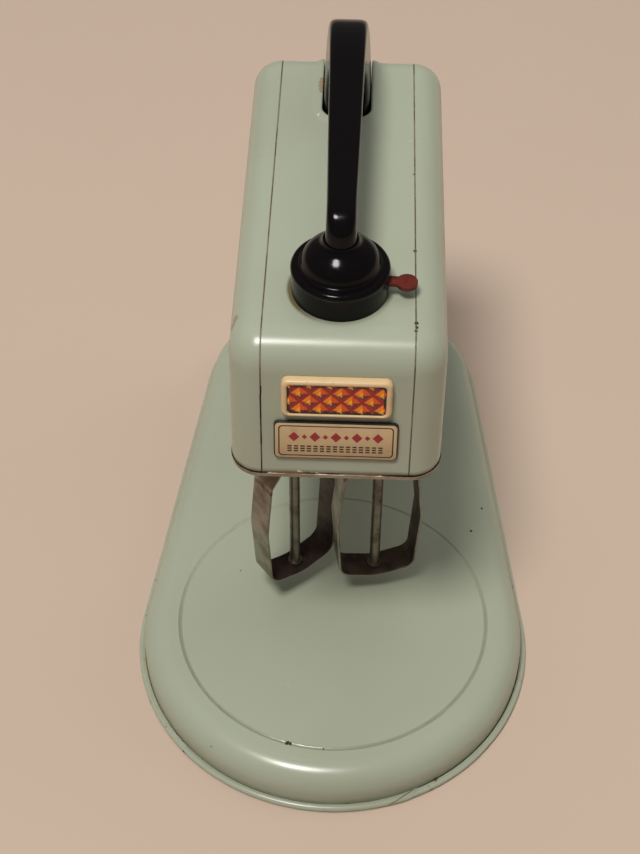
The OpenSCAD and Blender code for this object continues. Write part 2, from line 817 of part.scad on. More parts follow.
// Spindle with a thrust collar and a socket for the beater's rod
module spindle() {
    difference() {
        union() {
            translate([0, 0, 93]) cylinder(r = 3.2, h = 14);
            translate([0, 0, 106.3]) cylinder(r = 4.2, h = 1.4);
            translate([0, 0, 106.3]) cylinder(r = 2, h = 30.2);
        }
        translate([0, 0, 90]) cylinder(d = rod_d + 0.06, h = 15.2);
    }
}

module left_spindle() {
    color(steel) in_frame() translate([-beater_x, beater_y, 0]) spindle();
}

module right_spindle() {
    color(steel) in_frame() translate([beater_x, beater_y, 0]) spindle();
}

// Flanged bushes in the floor of the head
module lower_bushes() {
    color(brass) in_frame() for (x = [-1, 1]) translate([x * beater_x, beater_y, 0]) difference() {
        union() {
            translate([0, 0, plate_z - 1.2]) cylinder(r = 4.4, h = 5.6);
            translate([0, 0, plate_z + tin]) cylinder(r = 5.6, h = 1.2);
        }
        translate([0, 0, 90]) cylinder(r = 3.26, h = 30);
    }
}

// Flanged bushes in the top of the cage
module upper_bushes() {
    color(brass) in_frame() for (x = [-1, 1]) translate([x * beater_x, beater_y, 0]) difference() {
        union() {
            translate([0, 0, 132.4]) cylinder(r = 3, h = 3.2);
            translate([0, 0, 132.4]) cylinder(r = 4.2, h = 1.6);
        }
        translate([0, 0, 120]) cylinder(r = 2.06, h = 30);
    }
}

// Beater loop: a bent strip with a bowed foot, bowed sides and drawn-in shoulders
module beater_loop() {
    difference() {
        rotate([90, 0, 0]) linear_extrude(strip_w, center = true) difference() {
            outline(loop_rings, 0);
            outline(loop_rings, strip_t);
        }
        cylinder(d = rod_d + 0.06, h = 120);
    }
}

// Beater rod, riveted over below the strip, with a collar above it
module beater_rod() {
    translate([0, 0, loop_low - 0.1]) cylinder(d = rod_d, h = 105 - loop_low);
    translate([0, 0, loop_low - 0.05]) mirror([0, 0, 1]) stud(1, 0.1, 2.6, 0.9);
    translate([0, 0, loop_low + strip_t + 0.42]) cylinder(r = 2.3, h = 0.8);
    translate([0, 0, 86.3]) cylinder(r = 2.6, h = 1.2);
}

module left_beater_loop() {
    color(nickel) in_frame() translate([-beater_x, beater_y, 0]) rotate(left_turn) beater_loop();
}

module left_beater_rod() {
    color(nickel) in_frame() translate([-beater_x, beater_y, 0]) beater_rod();
}

module right_beater_loop() {
    color(nickel) in_frame() translate([beater_x, beater_y, 0]) rotate(right_turn) beater_loop();
}

module right_beater_rod() {
    color(nickel) in_frame() translate([beater_x, beater_y, 0]) beater_rod();
}

// Fibre tray, open below, that holds the two cells
module battery_tray() {
    color(fibre) in_frame() {
        translate([-27, 56.6, 130]) cube([54, 54, 1]);
        translate([-27, 56.6, plate_z + tin]) cube([54, 1, 130 - plate_z - tin]);
        translate([-27, 109.6, plate_z + tin]) cube([54, 1, 130 - plate_z - tin]);
    }
}

// Two cells, head to tail
module battery_cells() {
    color([0.75, 0.2, 0.15]) in_frame() for (s = [0, 1]) rotate([0, 0, 0])
        translate([s == 0 ? -cell_x : cell_x, s == 0 ? 58.6 : 107.4, cell_z])
            rotate([s == 0 ? -90 : 90, 0, 0]) {
                cylinder(r = cell_r, h = 46.8);
                cylinder(r = 3.2, h = 48.4);
            }
}

// Strip across the front ends of the cells
module battery_front_contact() {
    color(brass) in_frame() {
        translate([-20, 57.65, cell_z - 5]) cube([40, 0.45, 10]);
    }
}

// Two separate strips at the rear ends of the cells
module battery_rear_contacts() {
    color(brass) in_frame() for (x = [-1, 1])
        translate([x * cell_x - 6, 109.1, cell_z - 5]) cube([12, 0.45, 14]);
}

// Battery door with its hinge barrels and a pull tab
module battery_door() {
    color(nickel) in_frame() difference() {
        union() {
            translate([-door_half_w + 0.3, door_front, plate_z])
                cube([2 * door_half_w - 0.6, door_back - door_front, tin]);
            for (x = [-1, 1]) translate([x * 15, 0, 0]) {
                translate([0, door_axis[0], door_axis[1]]) rotate([0, 90, 0])
                    cylinder(r = 1.2, h = 10, center = true);
                translate([-5, door_axis[0], door_axis[1] - 0.4]) cube([10, 1.8, 0.8]);
                translate([-5, door_axis[0] + 1, door_axis[1] - 0.4])
                    cube([10, 0.8, plate_z - door_axis[1] + 0.5]);
            }
            translate([-5, door_back - 3.8, plate_z - 1.4]) cube([10, 0.8, 1.5]);
        }
        translate([0, door_axis[0], door_axis[1]]) rotate([0, 90, 0])
            cylinder(r = 0.65, h = 60, center = true);
    }
}

// Pin of the door's hinge
module door_hinge_pin() {
    color(steel) in_frame() translate([0, door_axis[0], door_axis[1]]) rotate([0, 90, 0])
        cylinder(r = 0.6, h = 41, center = true);
}

// Insulated leads between the switch, the motor and the cells
module lead_wires() {
    color(rust_red) in_frame() {
        wire([[7, bell_y, 142.4], [7, bell_y, 137.2], [7, 53.9, 137.2], [7, 53.9, worm_z + 0.35]], 0.6, 2);
        wire([[-7, bell_y, 142.4], [-7, bell_y, 137.2], [-7, 60, 137.2], [-13.3, 60, 137.2],
            [-13.3, 111.4, 137.2], [-13.3, 111.4, 123]], 0.6, 2);
        wire([[-7.5, 53.9, worm_z + 0.35], [-7.5, 53.9, 133.4], [-7.5, 62, 133.4], [13.3, 62, 133.4],
            [13.3, 111.4, 133.4], [13.3, 111.4, 123]], 0.6, 2);
    }
}

base_shell();
column_shell();
column_back();
hinge_sleeve();
hinge_pin();
head_left_cover();
head_right_cover();
head_centre_shell();
head_bottom_plate();
hinge_brackets();
bracket_rivets();
trim_frame();
trim_panel();
name_plate();
switch_housing();
switch_pivot();
switch_lever();
switch_contacts();
handle();
handle_screws();
gear_frame();
frame_screws();
worm_bush();
motor_can();
motor_end_cap();
motor_terminals();
motor_shaft();
drive_worm();
left_gear();
right_gear();
left_spindle();
right_spindle();
lower_bushes();
upper_bushes();
left_beater_loop();
left_beater_rod();
right_beater_loop();
right_beater_rod();
battery_tray();
battery_cells();
battery_front_contact();
battery_rear_contacts();
battery_door();
door_hinge_pin();
lead_wires();
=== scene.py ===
"""Looks of a toy stand mixer in painted tinplate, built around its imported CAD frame."""
from __future__ import annotations

import logging
import math
from dataclasses import dataclass, replace
from enum import Enum
from typing import Callable, Sequence

import bmesh
import bpy
from bpy.types import Material, Mesh, Node, NodeSocket
from mathutils import Matrix, Vector


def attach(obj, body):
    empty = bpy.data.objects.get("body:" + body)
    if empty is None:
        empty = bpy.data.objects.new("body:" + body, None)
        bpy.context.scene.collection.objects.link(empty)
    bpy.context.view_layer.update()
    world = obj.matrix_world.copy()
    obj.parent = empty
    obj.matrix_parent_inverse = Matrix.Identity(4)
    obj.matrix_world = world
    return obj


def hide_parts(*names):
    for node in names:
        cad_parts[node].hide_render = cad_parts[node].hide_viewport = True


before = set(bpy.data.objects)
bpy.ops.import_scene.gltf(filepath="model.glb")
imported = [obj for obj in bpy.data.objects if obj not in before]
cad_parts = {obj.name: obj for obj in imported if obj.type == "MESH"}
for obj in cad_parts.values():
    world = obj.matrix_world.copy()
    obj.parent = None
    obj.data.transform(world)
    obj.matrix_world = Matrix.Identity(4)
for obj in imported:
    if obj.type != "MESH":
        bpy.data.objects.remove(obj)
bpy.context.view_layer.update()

LOG = logging.getLogger("toy_mixer")
MM = 0.001
PER_M = 1000
# Sizes are in millimetres from the datum of the CAD source, which lies this far from the frame's origin.
DATUM_Y = -39.25
BASE_TOP = 14.0
RING_Y = -3.0
RING_R = 50.0
FRONT_LEAN = math.radians(6.801214)
HEAD_TOP = 148.0
HEAD_LOW = 103.4
HEAD_REAR = 121.5
FLOOR_TOP = 103.15
BEND_R = 10.0
BEND_Y = -4.0
SEAM_X = 20.7
BELL_Y = 10.3
BELL_Z = 148.2
BELL_R = 13.6
Colour = tuple[float, float, float]
Point = tuple[float, float, float]
Flat = tuple[float, float]
# Place and size of a mark in the paint
Mark = tuple[float, float, float, float]
# Half width, half height, corner radius, shift up and distance out of a rounded rectangle on the front
Layer = tuple[float, float, float, float, float]


def srgb(red: float, green: float, blue: float) -> Colour:
    """Linear colour, as a shader takes it, of a display colour of 0 to 255."""
    parts = (value / 255 for value in (red, green, blue))
    return tuple(part / 12.92 if part <= 0.04045 else ((part + 0.055) / 1.055) ** 2.4 for part in parts)


def place(x: float, y: float, z: float) -> Point:
    """Point of the frame in metres, from millimetres counted from the datum."""
    return x * MM, (y + DATUM_Y) * MM, z * MM


def front_y(z: float) -> float:
    """Where the head's leaning front lies at a height."""
    return BEND_Y - BEND_R / math.cos(FRONT_LEAN) - (HEAD_TOP - BEND_R - z) * math.tan(FRONT_LEAN)


def on_front(middle_z: float, across: float, up: float, out: float) -> Point:
    """Point on the head's front, in datum millimetres.

    Args:
        middle_z: Height of the local origin on the front.
        across: Distance to the right.
        up: Distance up the slope.
        out: Distance off the surface.

    Returns:
        The point.
    """
    lean_s, lean_c = math.sin(FRONT_LEAN), math.cos(FRONT_LEAN)
    return (across, front_y(middle_z) + up * lean_s - out * lean_c,
            middle_z + up * lean_c + out * lean_s)


def front_matrix(middle_z: float, out: float) -> Matrix:
    """Transform that lays a flat mesh in metres on the head's front."""
    origin = Vector(place(*on_front(middle_z, 0.0, 0.0, out)))
    return Matrix.Translation(origin) @ Matrix.Rotation(math.pi / 2 - FRONT_LEAN, 4, "X")


def math_method(operation: str, swapped: bool = False) -> Callable[..., "Val"]:
    """Method of Val that adds one Math node.

    Args:
        operation: Operation of the node.
        swapped: Puts the value itself last, as an operator with a number in front needs.

    Returns:
        The method.
    """
    def method(self: "Val", *others: "Val | float") -> "Val":
        """Adds the node and returns its result."""
        values = (*others, self) if swapped else (self, *others)
        made = self.owner.node("ShaderNodeMath", dict(enumerate(values)), operation=operation)
        return self.owner.value(made)
    return method


class Val:
    """A node value on which Python's operators add Math nodes."""

    def __init__(self, owner: "Tree", socket: NodeSocket) -> None:
        """Wraps an output socket."""
        self.owner = owner
        self.socket = socket

    __add__ = __radd__ = math_method("ADD")
    __sub__ = math_method("SUBTRACT")
    __rsub__ = math_method("SUBTRACT", swapped=True)
    __mul__ = __rmul__ = math_method("MULTIPLY")
    __truediv__ = math_method("DIVIDE")
    __pow__ = math_method("POWER")
    __mod__ = math_method("MODULO")
    __abs__ = math_method("ABSOLUTE")
    least = math_method("MINIMUM")
    most = math_method("MAXIMUM")
    rounded = math_method("ROUND")

    def step(self, low: float, high: float) -> "Val":
        """Smooth step from zero at low to one at high."""
        span = {0: self, 1: low, 2: high, 3: 0.0, 4: 1.0}
        return self.owner.value(self.owner.node("ShaderNodeMapRange", span, interpolation_type="SMOOTHSTEP"))


class Tree:
    """Adds nodes to one node tree."""

    def __init__(self, tree: bpy.types.NodeTree) -> None:
        """Keeps the tree."""
        self.tree = tree

    def node(self, kind: str, sockets: dict | None = None, **settings: object) -> Node:
        """Adds a node.

        Args:
            kind: Node type.
            sockets: Values or links by socket name or index.
            settings: Properties of the node, set before its sockets.

        Returns:
            The new node.
        """
        made = self.tree.nodes.new(kind)
        for key, value in settings.items():
            setattr(made, key, value)
        for key, value in (sockets or {}).items():
            self.feed(made.inputs[key], value)
        return made

    def feed(self, target: NodeSocket, value: object) -> None:
        """Links a socket or sets its value.

        Args:
            target: Input socket.
            value: Node value, node whose first output is meant, socket or plain value.
        """
        if isinstance(value, Val):
            self.tree.links.new(value.socket, target)
        elif isinstance(value, Node):
            self.tree.links.new(value.outputs[0], target)
        elif isinstance(value, NodeSocket):
            self.tree.links.new(value, target)
        elif isinstance(value, tuple) and target.type == "RGBA":
            target.default_value = (*value, 1.0)
        else:
            target.default_value = value

    def value(self, made: Node, output: int | str = 0) -> Val:
        """Value of a node's output."""
        return Val(self, made.outputs[output])


class Shade(Tree):
    """Builds one procedural material."""

    def __init__(self, name: str) -> None:
        """Starts a node tree with a shader, its output and the place on the toy in datum millimetres.

        Args:
            name: Material name.
        """
        self.material = bpy.data.materials.new(name)
        self.material.use_nodes = True
        super().__init__(self.material.node_tree)
        self.tree.nodes.clear()
        self.shader = self.node("ShaderNodeBsdfPrincipled")
        self.node("ShaderNodeOutputMaterial", {0: self.shader})
        self.coords = self.node("ShaderNodeTexCoord").outputs["Object"]
        parts = self.node("ShaderNodeSeparateXYZ", {0: self.coords})
        self.x = self.value(parts, 0) * PER_M
        self.y = self.value(parts, 1) * PER_M - DATUM_Y
        self.z = self.value(parts, 2) * PER_M

    def mix(self, factor: Val, low: Colour | NodeSocket, high: Colour | NodeSocket) -> NodeSocket:
        """Blends two colours by a factor."""
        return self.node("ShaderNodeMix", {0: factor, 6: low, 7: high}, data_type="RGBA").outputs[2]

    def noise(self, per_mm: float, detail: float = 3.0, rough: float = 0.55,
              stretch: Point | None = None) -> Val:
        """Adds a noise.

        Args:
            per_mm: Features per millimetre.
            detail: Octaves.
            rough: Weight of the finer ones.
            stretch: Scale of the coordinates along the axes.

        Returns:
            The noise, about zero to one.
        """
        vector = self.coords
        if stretch:
            vector = self.node("ShaderNodeMapping", {"Vector": self.coords, "Scale": stretch})
        return self.value(self.node("ShaderNodeTexNoise", {
            "Vector": vector, "Scale": per_mm * PER_M, "Detail": detail, "Roughness": rough}))

    def specks(self, per_mm: float) -> Val:
        """Distance to the nearest of scattered points, in cell widths."""
        return self.value(self.node("ShaderNodeTexVoronoi", {"Vector": self.coords, "Scale": per_mm * PER_M}))

    def attribute(self, name: str) -> Val:
        """Value of a named attribute of the mesh."""
        return self.value(self.node("ShaderNodeAttribute", attribute_name=name), "Fac")

    def spots(self, marks: Sequence[Mark], ragged: Val) -> Val:
        """Mask of ragged marks.

        Args:
            marks: Place in datum millimetres and size of each.
            ragged: What makes their outlines uneven.

        Returns:
            One inside the marks and zero outside.
        """
        mask: Val | None = None
        for *at, size in marks:
            gap = self.node("ShaderNodeVectorMath", {0: self.coords, 1: place(*at)}, operation="DISTANCE")
            near = self.value(gap, "Value") * (PER_M / size) + ragged
            spot = 1 - near.step(0.8, 1.05)
            mask = mask.most(spot) if mask else spot
        return mask

    def bump(self, height: Val, depth_mm: float, strength: float) -> None:
        """Feeds the shader's normal with a relief of so many millimetres."""
        self.feed(self.shader.inputs["Normal"], self.node("ShaderNodeBump", {
            "Strength": strength, "Distance": depth_mm * MM, "Height": height}))

    def surface(self, **sockets: Val | NodeSocket | float) -> Material:
        """Sets or links the shader's sockets.

        Args:
            sockets: Values by socket name, with underscores for spaces.

        Returns:
            The finished material.
        """
        for key, value in sockets.items():
            self.feed(self.shader.inputs[key.replace("_", " ")], value)
        return self.material


class Growth(Tree):
    """Builds one Geometry Nodes tree with named inputs and turns its result into a mesh."""

    KINDS: dict[type, str] = {
        float: "NodeSocketFloat", int: "NodeSocketInt", tuple: "NodeSocketVector",
        type(None): "NodeSocketMaterial"}

    def __init__(self, name: str, **inputs: float | int | Point) -> None:
        """Starts a tree.

        Args:
            name: Tree name.
            inputs: Default value by input name. Its type sets the socket's type. A material comes last.
        """
        super().__init__(bpy.data.node_groups.new(name, "GeometryNodeTree"))
        sides = self.tree.interface
        sides.new_socket("Geometry", in_out="INPUT", socket_type="NodeSocketGeometry")
        self.keys: dict[str, str] = {}
        for key, value in {**inputs, "Material": None}.items():
            made = sides.new_socket(key, in_out="INPUT", socket_type=self.KINDS[type(value)])
            if value is not None:
                made.default_value = value
            self.keys[key] = made.identifier
        sides.new_socket("Geometry", in_out="OUTPUT", socket_type="NodeSocketGeometry")
        self.entry = self.node("NodeGroupInput")

    def given(self, key: str) -> Val:
        """Value of a named input."""
        return self.value(self.entry, key)

    def end(self, geometry: Node) -> None:
        """Closes the tree with real geometry in its material.

        Args:
            geometry: Node that makes the geometry.
        """
        real = self.node("GeometryNodeRealizeInstances", {0: geometry})
        dyed = self.node("GeometryNodeSetMaterial", {0: real, "Material": self.given("Material")})
        self.node("NodeGroupOutput", {0: dyed})

    def grow(self, seed_mesh: Mesh, **values: object) -> Mesh:
        """Runs the tree on a mesh.

        Args:
            seed_mesh: Mesh that enters the tree.
            values: Values by input name.

        Returns:
            The grown mesh.
        """
        host = bpy.data.objects.new("growth_host", seed_mesh)
        bpy.context.scene.collection.objects.link(host)
        modifier = host.modifiers.new("growth", "NODES")
        modifier.node_group = self.tree
        for key, value in values.items():
            modifier[self.keys[key]] = value
        bpy.context.view_layer.update()
        graph = bpy.context.evaluated_depsgraph_get()
        grown = bpy.data.meshes.new_from_object(host.evaluated_get(graph))
        host.modifiers.remove(modifier)
        bpy.data.objects.remove(host)
        return grown


@dataclass(frozen=True)
class Thread:
    """Radius and spacing of a thread in millimetres, its unevenness, its grain per metre and its seed."""

    radius: float
    wobble: float
    grain: float
    spacing: float
    seed: float


class TubeGrowth(Growth):
    """Uneven round thread along a path, as dirt in a gap, painted shade in a crevice or a worn edge."""

    def __init__(self) -> None:
        """Builds the tree."""
        super().__init__("uneven_thread", Radius=0.0003, Wobble=0.5, Grain=200.0, Spacing=0.0006, Seed=1.0)
        line = self.node("GeometryNodeMeshToCurve", {0: self.entry})
        even = self.node("GeometryNodeResampleCurve", {
            0: line, "Length": self.given("Spacing")}, mode="LENGTH")
        noise = self.node("ShaderNodeTexNoise", {
            "W": self.given("Seed"), "Scale": self.given("Grain"), "Detail": 2.0}, noise_dimensions="4D")
        swell = 1 + (self.value(noise) - 0.5) * self.given("Wobble") * 2
        ring = self.node("GeometryNodeCurvePrimitiveCircle", {"Resolution": 8, "Radius": 1.0}, mode="RADIUS")
        tube = self.node("GeometryNodeCurveToMesh", {
            0: even, 1: ring, "Scale": swell.most(0.12) * self.given("Radius"), "Fill Caps": True})
        self.end(self.node("GeometryNodeSetShadeSmooth", {0: tube}))

    def lay(self, name: str, line: Sequence[Point], closed: bool, thread: Thread, finish: Material,
            body: str, slot: str) -> None:
        """Lays a thread along a line as a piece of the toy.

        Args:
            name: Piece name.
            line: Points in datum millimetres.
            closed: Whether the line returns to its start.
            thread: How the thread looks.
            finish: Its material.
            body: CAD body that carries it.
            slot: Not used.
        """
        mesh = self.grow(path_mesh(line, closed), Radius=thread.radius * MM, Wobble=thread.wobble,
                         Grain=thread.grain, Spacing=thread.spacing * MM, Seed=thread.seed, Material=finish)
        mesh_piece(name, mesh, finish, body)


class StripGrowth(Growth):
    """Flat metal strip bent along a closed path, which notes its inner side."""

    def __init__(self) -> None:
        """Builds the tree."""
        super().__init__("bent_strip", Width=0.009, Thickness=0.0008, Corner=0.0003,
                         Across=(0.0, 1.0, 0.0), Middle=(0.0, 0.0, 0.0))
        line = self.node("GeometryNodeMeshToCurve", {0: self.entry})
        held = self.node("GeometryNodeSetCurveNormal", {0: line, "Normal": self.given("Across")}, mode="FREE")
        flat = self.node("GeometryNodeCurvePrimitiveQuadrilateral", {
            "Width": self.given("Width"), "Height": self.given("Thickness")}, mode="RECTANGLE")
        eased = self.node("GeometryNodeFilletCurve", {
            0: flat, "Count": 3, "Radius": self.given("Corner")}, mode="POLY")
        strip = self.node("GeometryNodeCurveToMesh", {0: held, 1: eased})
        reach = self.node("ShaderNodeVectorMath", {
            0: self.node("GeometryNodeInputPosition"), 1: self.given("Middle")}, operation="SUBTRACT")
        turn = self.node("ShaderNodeVectorMath", {
            0: self.node("GeometryNodeInputNormal"), 1: reach}, operation="DOT_PRODUCT")
        inner = (self.value(turn, "Value") * -PER_M).step(0.5, 3.0)
        self.end(self.node("GeometryNodeStoreNamedAttribute", {0: strip, "Name": "inner", "Value": inner},
                           data_type="FLOAT", domain="FACE"))


class MarkShape(Enum):
    """Outline of a printed mark."""

    DASH = "dash"
    LOZENGE = "lozenge"


class MarkGrowth(Growth):
    """Rows of small printed marks with a little relief."""

    def __init__(self, shape: MarkShape) -> None:
        """Builds the tree.

        Args:
            shape: Shape of the marks.
        """
        super().__init__(f"{shape.value}_rows", Run=0.02, Rise=0.002, Columns=3, Rows=3, Width=0.001,
                         Height=0.0004, Corner=0.0001, Relief=0.00005, Alternate=0.0, Jitter=0.1, Seed=3)
        grid = self.node("GeometryNodeMeshGrid", {
            "Size X": self.given("Run"), "Size Y": self.given("Rise"),
            "Vertices X": self.given("Columns"), "Vertices Y": self.given("Rows")})
        foot = self.node("GeometryNodeFillCurve", {0: self.outline(shape)}, mode="NGONS")
        lift = self.node("ShaderNodeCombineXYZ", {2: self.given("Relief")})
        body = self.node("GeometryNodeExtrudeMesh", {
            0: foot, "Offset": lift, "Offset Scale": 1.0, "Individual": False}, mode="FACES")
        both = self.node("GeometryNodeJoinGeometry", {0: body})
        self.feed(both.inputs[0], self.node("GeometryNodeFlipFaces", {0: foot}))
        whole = self.node("GeometryNodeMergeByDistance", {0: both, "Distance": 1e-6})
        chance = self.node("FunctionNodeRandomValue", {2: -0.5, 3: 0.5, "Seed": self.given("Seed")},
                           data_type="FLOAT")
        index = self.value(self.node("GeometryNodeInputIndex"))
        size = 1 - (index % 2) * self.given("Alternate")
        spread = self.node("ShaderNodeCombineXYZ", {
            0: size * (1 + self.value(chance, 1) * self.given("Jitter")), 1: size, 2: 1.0})
        self.end(self.node("GeometryNodeInstanceOnPoints", {
            "Points": grid, "Instance": whole, "Scale": spread}))

    def outline(self, shape: MarkShape) -> Node:
        """Adds the nodes that draw one mark.

        Args:
            shape: Shape of the mark.

        Returns:
            Node that ends with its outline.
        """
        width, height = self.given("Width"), self.given("Height")
        if shape is MarkShape.DASH:
            line = self.node("GeometryNodeCurvePrimitiveQuadrilateral", {"Width": width, "Height": height},
                             mode="RECTANGLE")
            return self.node("GeometryNodeFilletCurve", {
                0: line, "Count": 2, "Radius": self.given("Corner")}, mode="POLY")
        size = self.node("ShaderNodeCombineXYZ", {0: width / 2, 1: height / 2, 2: 1.0})
        line = self.node("GeometryNodeCurvePrimitiveCircle", {"Resolution": 4, "Radius": 1.0}, mode="RADIUS")
        return self.node("GeometryNodeTransform", {0: line, "Scale": size})


class Coat(Enum):
    """Where the mint enamel lies, which sets where it is worn."""

    HEAD = "head"
    BASE = "base"
    COLUMN = "column"


HEAD_CHIPS: tuple[Mark, ...] = (
    (20.6, 26.3, 148.0, 0.6), (20.8, -2.6, 148.0, 0.6), (20.9, -4.2, 147.9, 0.55), (20.7, -5.4, 147.9, 0.45),
    (20.5, 60.0, 148.0, 0.4), (-20.9, -13.6, 133.0, 0.5),
)
HEAD_RUST: tuple[Mark, ...] = (
    (-28.4, 0.8, 144.4, 1.5), (-28.8, -0.8, 143.2, 1.3), (-8.0, 104.4, 148.86, 0.8),
    (-8.1, 102.8, 148.87, 1.0), (-8.2, 101.2, 148.87, 1.0), (-8.1, 99.6, 148.87, 0.9),
    (-8.0, 98.0, 148.86, 0.7),
)
HEAD_BRIGHT: tuple[Mark, ...] = (
    (-8.6, 86.8, 148.6, 0.6), (-10.2, -18.2, 103.6, 0.75), (-6.6, -18.2, 103.4, 0.5),
    (-5.2, -18.2, 103.4, 0.45),
)
BASE_CHIPS: tuple[Mark, ...] = (
    (50.6, 52.4, 14.0, 0.5), (50.3, 44.7, 14.0, 0.45), (46.2, 34.4, 14.0, 0.5), (-12.9, -51.3, 13.9, 0.75),
    (-11.8, -51.6, 13.9, 0.55), (-1.6, -52.9, 13.9, 0.35),
)
BASE_RUST: tuple[Mark, ...] = ((33.5, -55.6, 2.0, 0.8), (60.0, 20.0, 2.2, 1.2), (-40.0, 110.0, 2.2, 1.2))


@dataclass(frozen=True)
class MintEnamel:
    """Stoved mint enamel on tinplate, with chips, rust and dirt where handled, and painted shade on the
    base's groove and wall.
    """

    coat: Coat
    colour: Colour = srgb(167, 174, 154)
    worn: Colour = srgb(158, 162, 141)
    # Brownish colour of dirt on the head and of painted shade on the base
    grime_and_shade: Colour = srgb(106, 96, 72)
    primer: Colour = srgb(104, 70, 42)
    stain: Colour = srgb(142, 98, 62)
    bare: Colour = srgb(30, 24, 19)
    tin: Colour = srgb(214, 206, 190)
    # Front, middle and rear of the pedestal, and half its width and depth
    column_y: Point = (108.5, 118.5, 128.3)
    column_half: Flat = (20.0, 10.0)

    def edge_distance(self, shade: Shade) -> Val:
        """Nearness to the edges that lose their paint first.

        Args:
            shade: Material to build in.

        Returns:
            Distance in millimetres.
        """
        if self.coat is Coat.HEAD:
            low = (shade.z - HEAD_LOW) * 1.3
            corner = (abs(shade.x) - 24).step(-6, 2) * 0.8
            return low + 0.9 - corner
        if self.coat is Coat.BASE:
            return (shade.z - 1.0).most(0.4) * 1.3 + shade.z.step(2.4, 3.6) * 9
        sides = abs(abs(shade.x) - self.column_half[0])
        ends = abs(shade.y - self.column_y[0]).least(abs(shade.y - self.column_y[2]))
        return (sides + ends).least((shade.z - (BASE_TOP - 0.4)) * 1.4) + 0.3

    def grime_and_shade_mask(self, shade: Shade, cloud: Val) -> Val:
        """Where the brownish colour goes: dirt on the head, painted shade in the base's groove and low on its
        wall, and darkening at and round the pedestal's foot.

        Args:
            shade: Material to build in.
            cloud: What makes it uneven.

        Returns:
            Amount of dirt and painted shade, from zero to one.
        """
        # On the pedestal, darker towards its foot
        if self.coat is Coat.COLUMN:
            return (1 - (shade.z - (BASE_TOP - 0.2)).step(0.2, 5.0)) * cloud
        uneven = cloud * 0.9 + 0.45
        if self.coat is Coat.HEAD:
            bell = (shade.x * shade.x + (shade.y - BELL_Y) * (shade.y - BELL_Y)) ** 0.5 - BELL_R
            ring = (1 - bell.step(0.3, 1.5)) * shade.z.step(HEAD_TOP - 1.5, HEAD_TOP - 0.5)
            handled = (shade.x * -1).step(4.0, 12.0) * 0.75 + 0.35
            seam = 1 - abs(abs(shade.x) - SEAM_X).step(0.1, 0.5)
            low = 1 - shade.z.step(HEAD_LOW, HEAD_LOW + 1.7)
            front = 1 - shade.y.step(-14.0, -6.0)
            splash = low * (front * 0.75 + 0.25)
            return (ring * handled).most(seam * 0.25).most(splash) * uneven
        radius = (shade.x * shade.x + (shade.y - RING_Y) * (shade.y - RING_Y)) ** 0.5
        # Painted shade in the base's groove, stronger in front than behind
        ring = (1 - abs(radius - RING_R).step(0.15, 0.85)) * shade.z.step(BASE_TOP - 1.2, BASE_TOP - 0.6)
        kept = 0.46 - shade.y.step(-10.0, 25.0) * 0.4
        # Painted shade low on the base's wall, just above the bead
        low_wall_shade = (1 - shade.z.step(2.4, 5.0)) * shade.z.step(1.9, 2.3)
        # Darker round the pedestal's foot
        aside = abs(shade.x) - self.column_half[0]
        along = abs(shade.y - self.column_y[1]) - self.column_half[1]
        foot = 1 - aside.most(along).most(0).step(0.3, 4.5)
        return (ring * kept).most(low_wall_shade * 0.32).most(foot * 0.4) * uneven

    def material(self) -> Material:
        """Builds the enamel.

        Returns:
            The material.
        """
        shade = Shade(f"mint_enamel_{self.coat.value}")
        broad = shade.noise(0.018, 2.0)
        cloud = shade.noise(0.12, 4.0, 0.6)
        flake = shade.noise(0.55, 3.0, 0.6)
        peel = shade.noise(0.45, 2.0, 0.5)
        ragged = (shade.noise(1.5, 3.0, 0.65) - 0.5) * 2.4
        edge = self.edge_distance(shade)
        chip = (flake - 0.62 - edge * 0.06).step(0.0, 0.03)
        rim = (flake * 0.6 + cloud * 0.4 - 0.52 - edge * 0.05).step(0.0, 0.12)
        scuff = (0.012 - shade.specks(0.03)).step(0.0, 0.004) * cloud.step(0.5, 0.56)
        bare = chip.most(scuff)
        rust = rim * 0.55
        tone = shade.mix(broad.step(0.35, 0.7) * 0.4, self.colour, self.worn)
        if self.coat is Coat.HEAD:
            bare = bare.most(shade.spots(HEAD_CHIPS, ragged))
        if self.coat is Coat.BASE:
            bare = bare.most(shade.spots(BASE_CHIPS, ragged))
            rust = rust.most(shade.spots(BASE_RUST, ragged) * 0.8)
        # Dirt on the head and painted shade on the base, in the brownish colour
        stained = shade.mix(self.grime_and_shade_mask(shade, cloud), tone, self.grime_and_shade)
        rusty = shade.mix(rust, stained, self.primer)
        colour = shade.mix(bare, rusty, self.bare)
        if self.coat is Coat.HEAD:
            colour = shade.mix(shade.spots(HEAD_RUST, ragged * 0.6) * 0.6, colour, self.stain)
            colour = shade.mix(shade.spots(HEAD_BRIGHT, ragged), colour, self.tin)
        shade.bump(peel * 0.3 - bare * 1.2 - rust * 0.2, 0.03, 0.35)
        return shade.surface(Base_Color=colour, Roughness=cloud * 0.1 + 0.2 + bare * 0.45 + rust * 0.25,
                             Specular_IOR_Level=0.5)


@dataclass(frozen=True)
class BlackMoulding:
    """Glossy black phenolic moulding with fine handling marks."""

    colour: Colour = srgb(13, 11, 12)
    dust: Colour = srgb(40, 36, 34)

    def material(self) -> Material:
        """Builds the moulding.

        Returns:
            The material.
        """
        shade = Shade("black_moulding")
        flow = shade.noise(0.05, 2.0)
        scratch = shade.noise(0.9, 2.0, 0.5, (1.0, 0.06, 0.6))
        film = shade.noise(1.6, 4.0, 0.7).step(0.62, 0.8)
        speck = (0.06 - shade.specks(0.35)).step(0.0, 0.02) * flow.step(0.45, 0.6)
        shade.bump(flow * 0.8 + scratch * 0.2, 0.02, 0.25)
        return shade.surface(
            Base_Color=shade.mix((film * 0.35).most(speck), self.colour, self.dust),
            Roughness=0.14 + scratch.step(0.62, 0.75) * 0.12 + film * 0.12, Specular_IOR_Level=0.16)


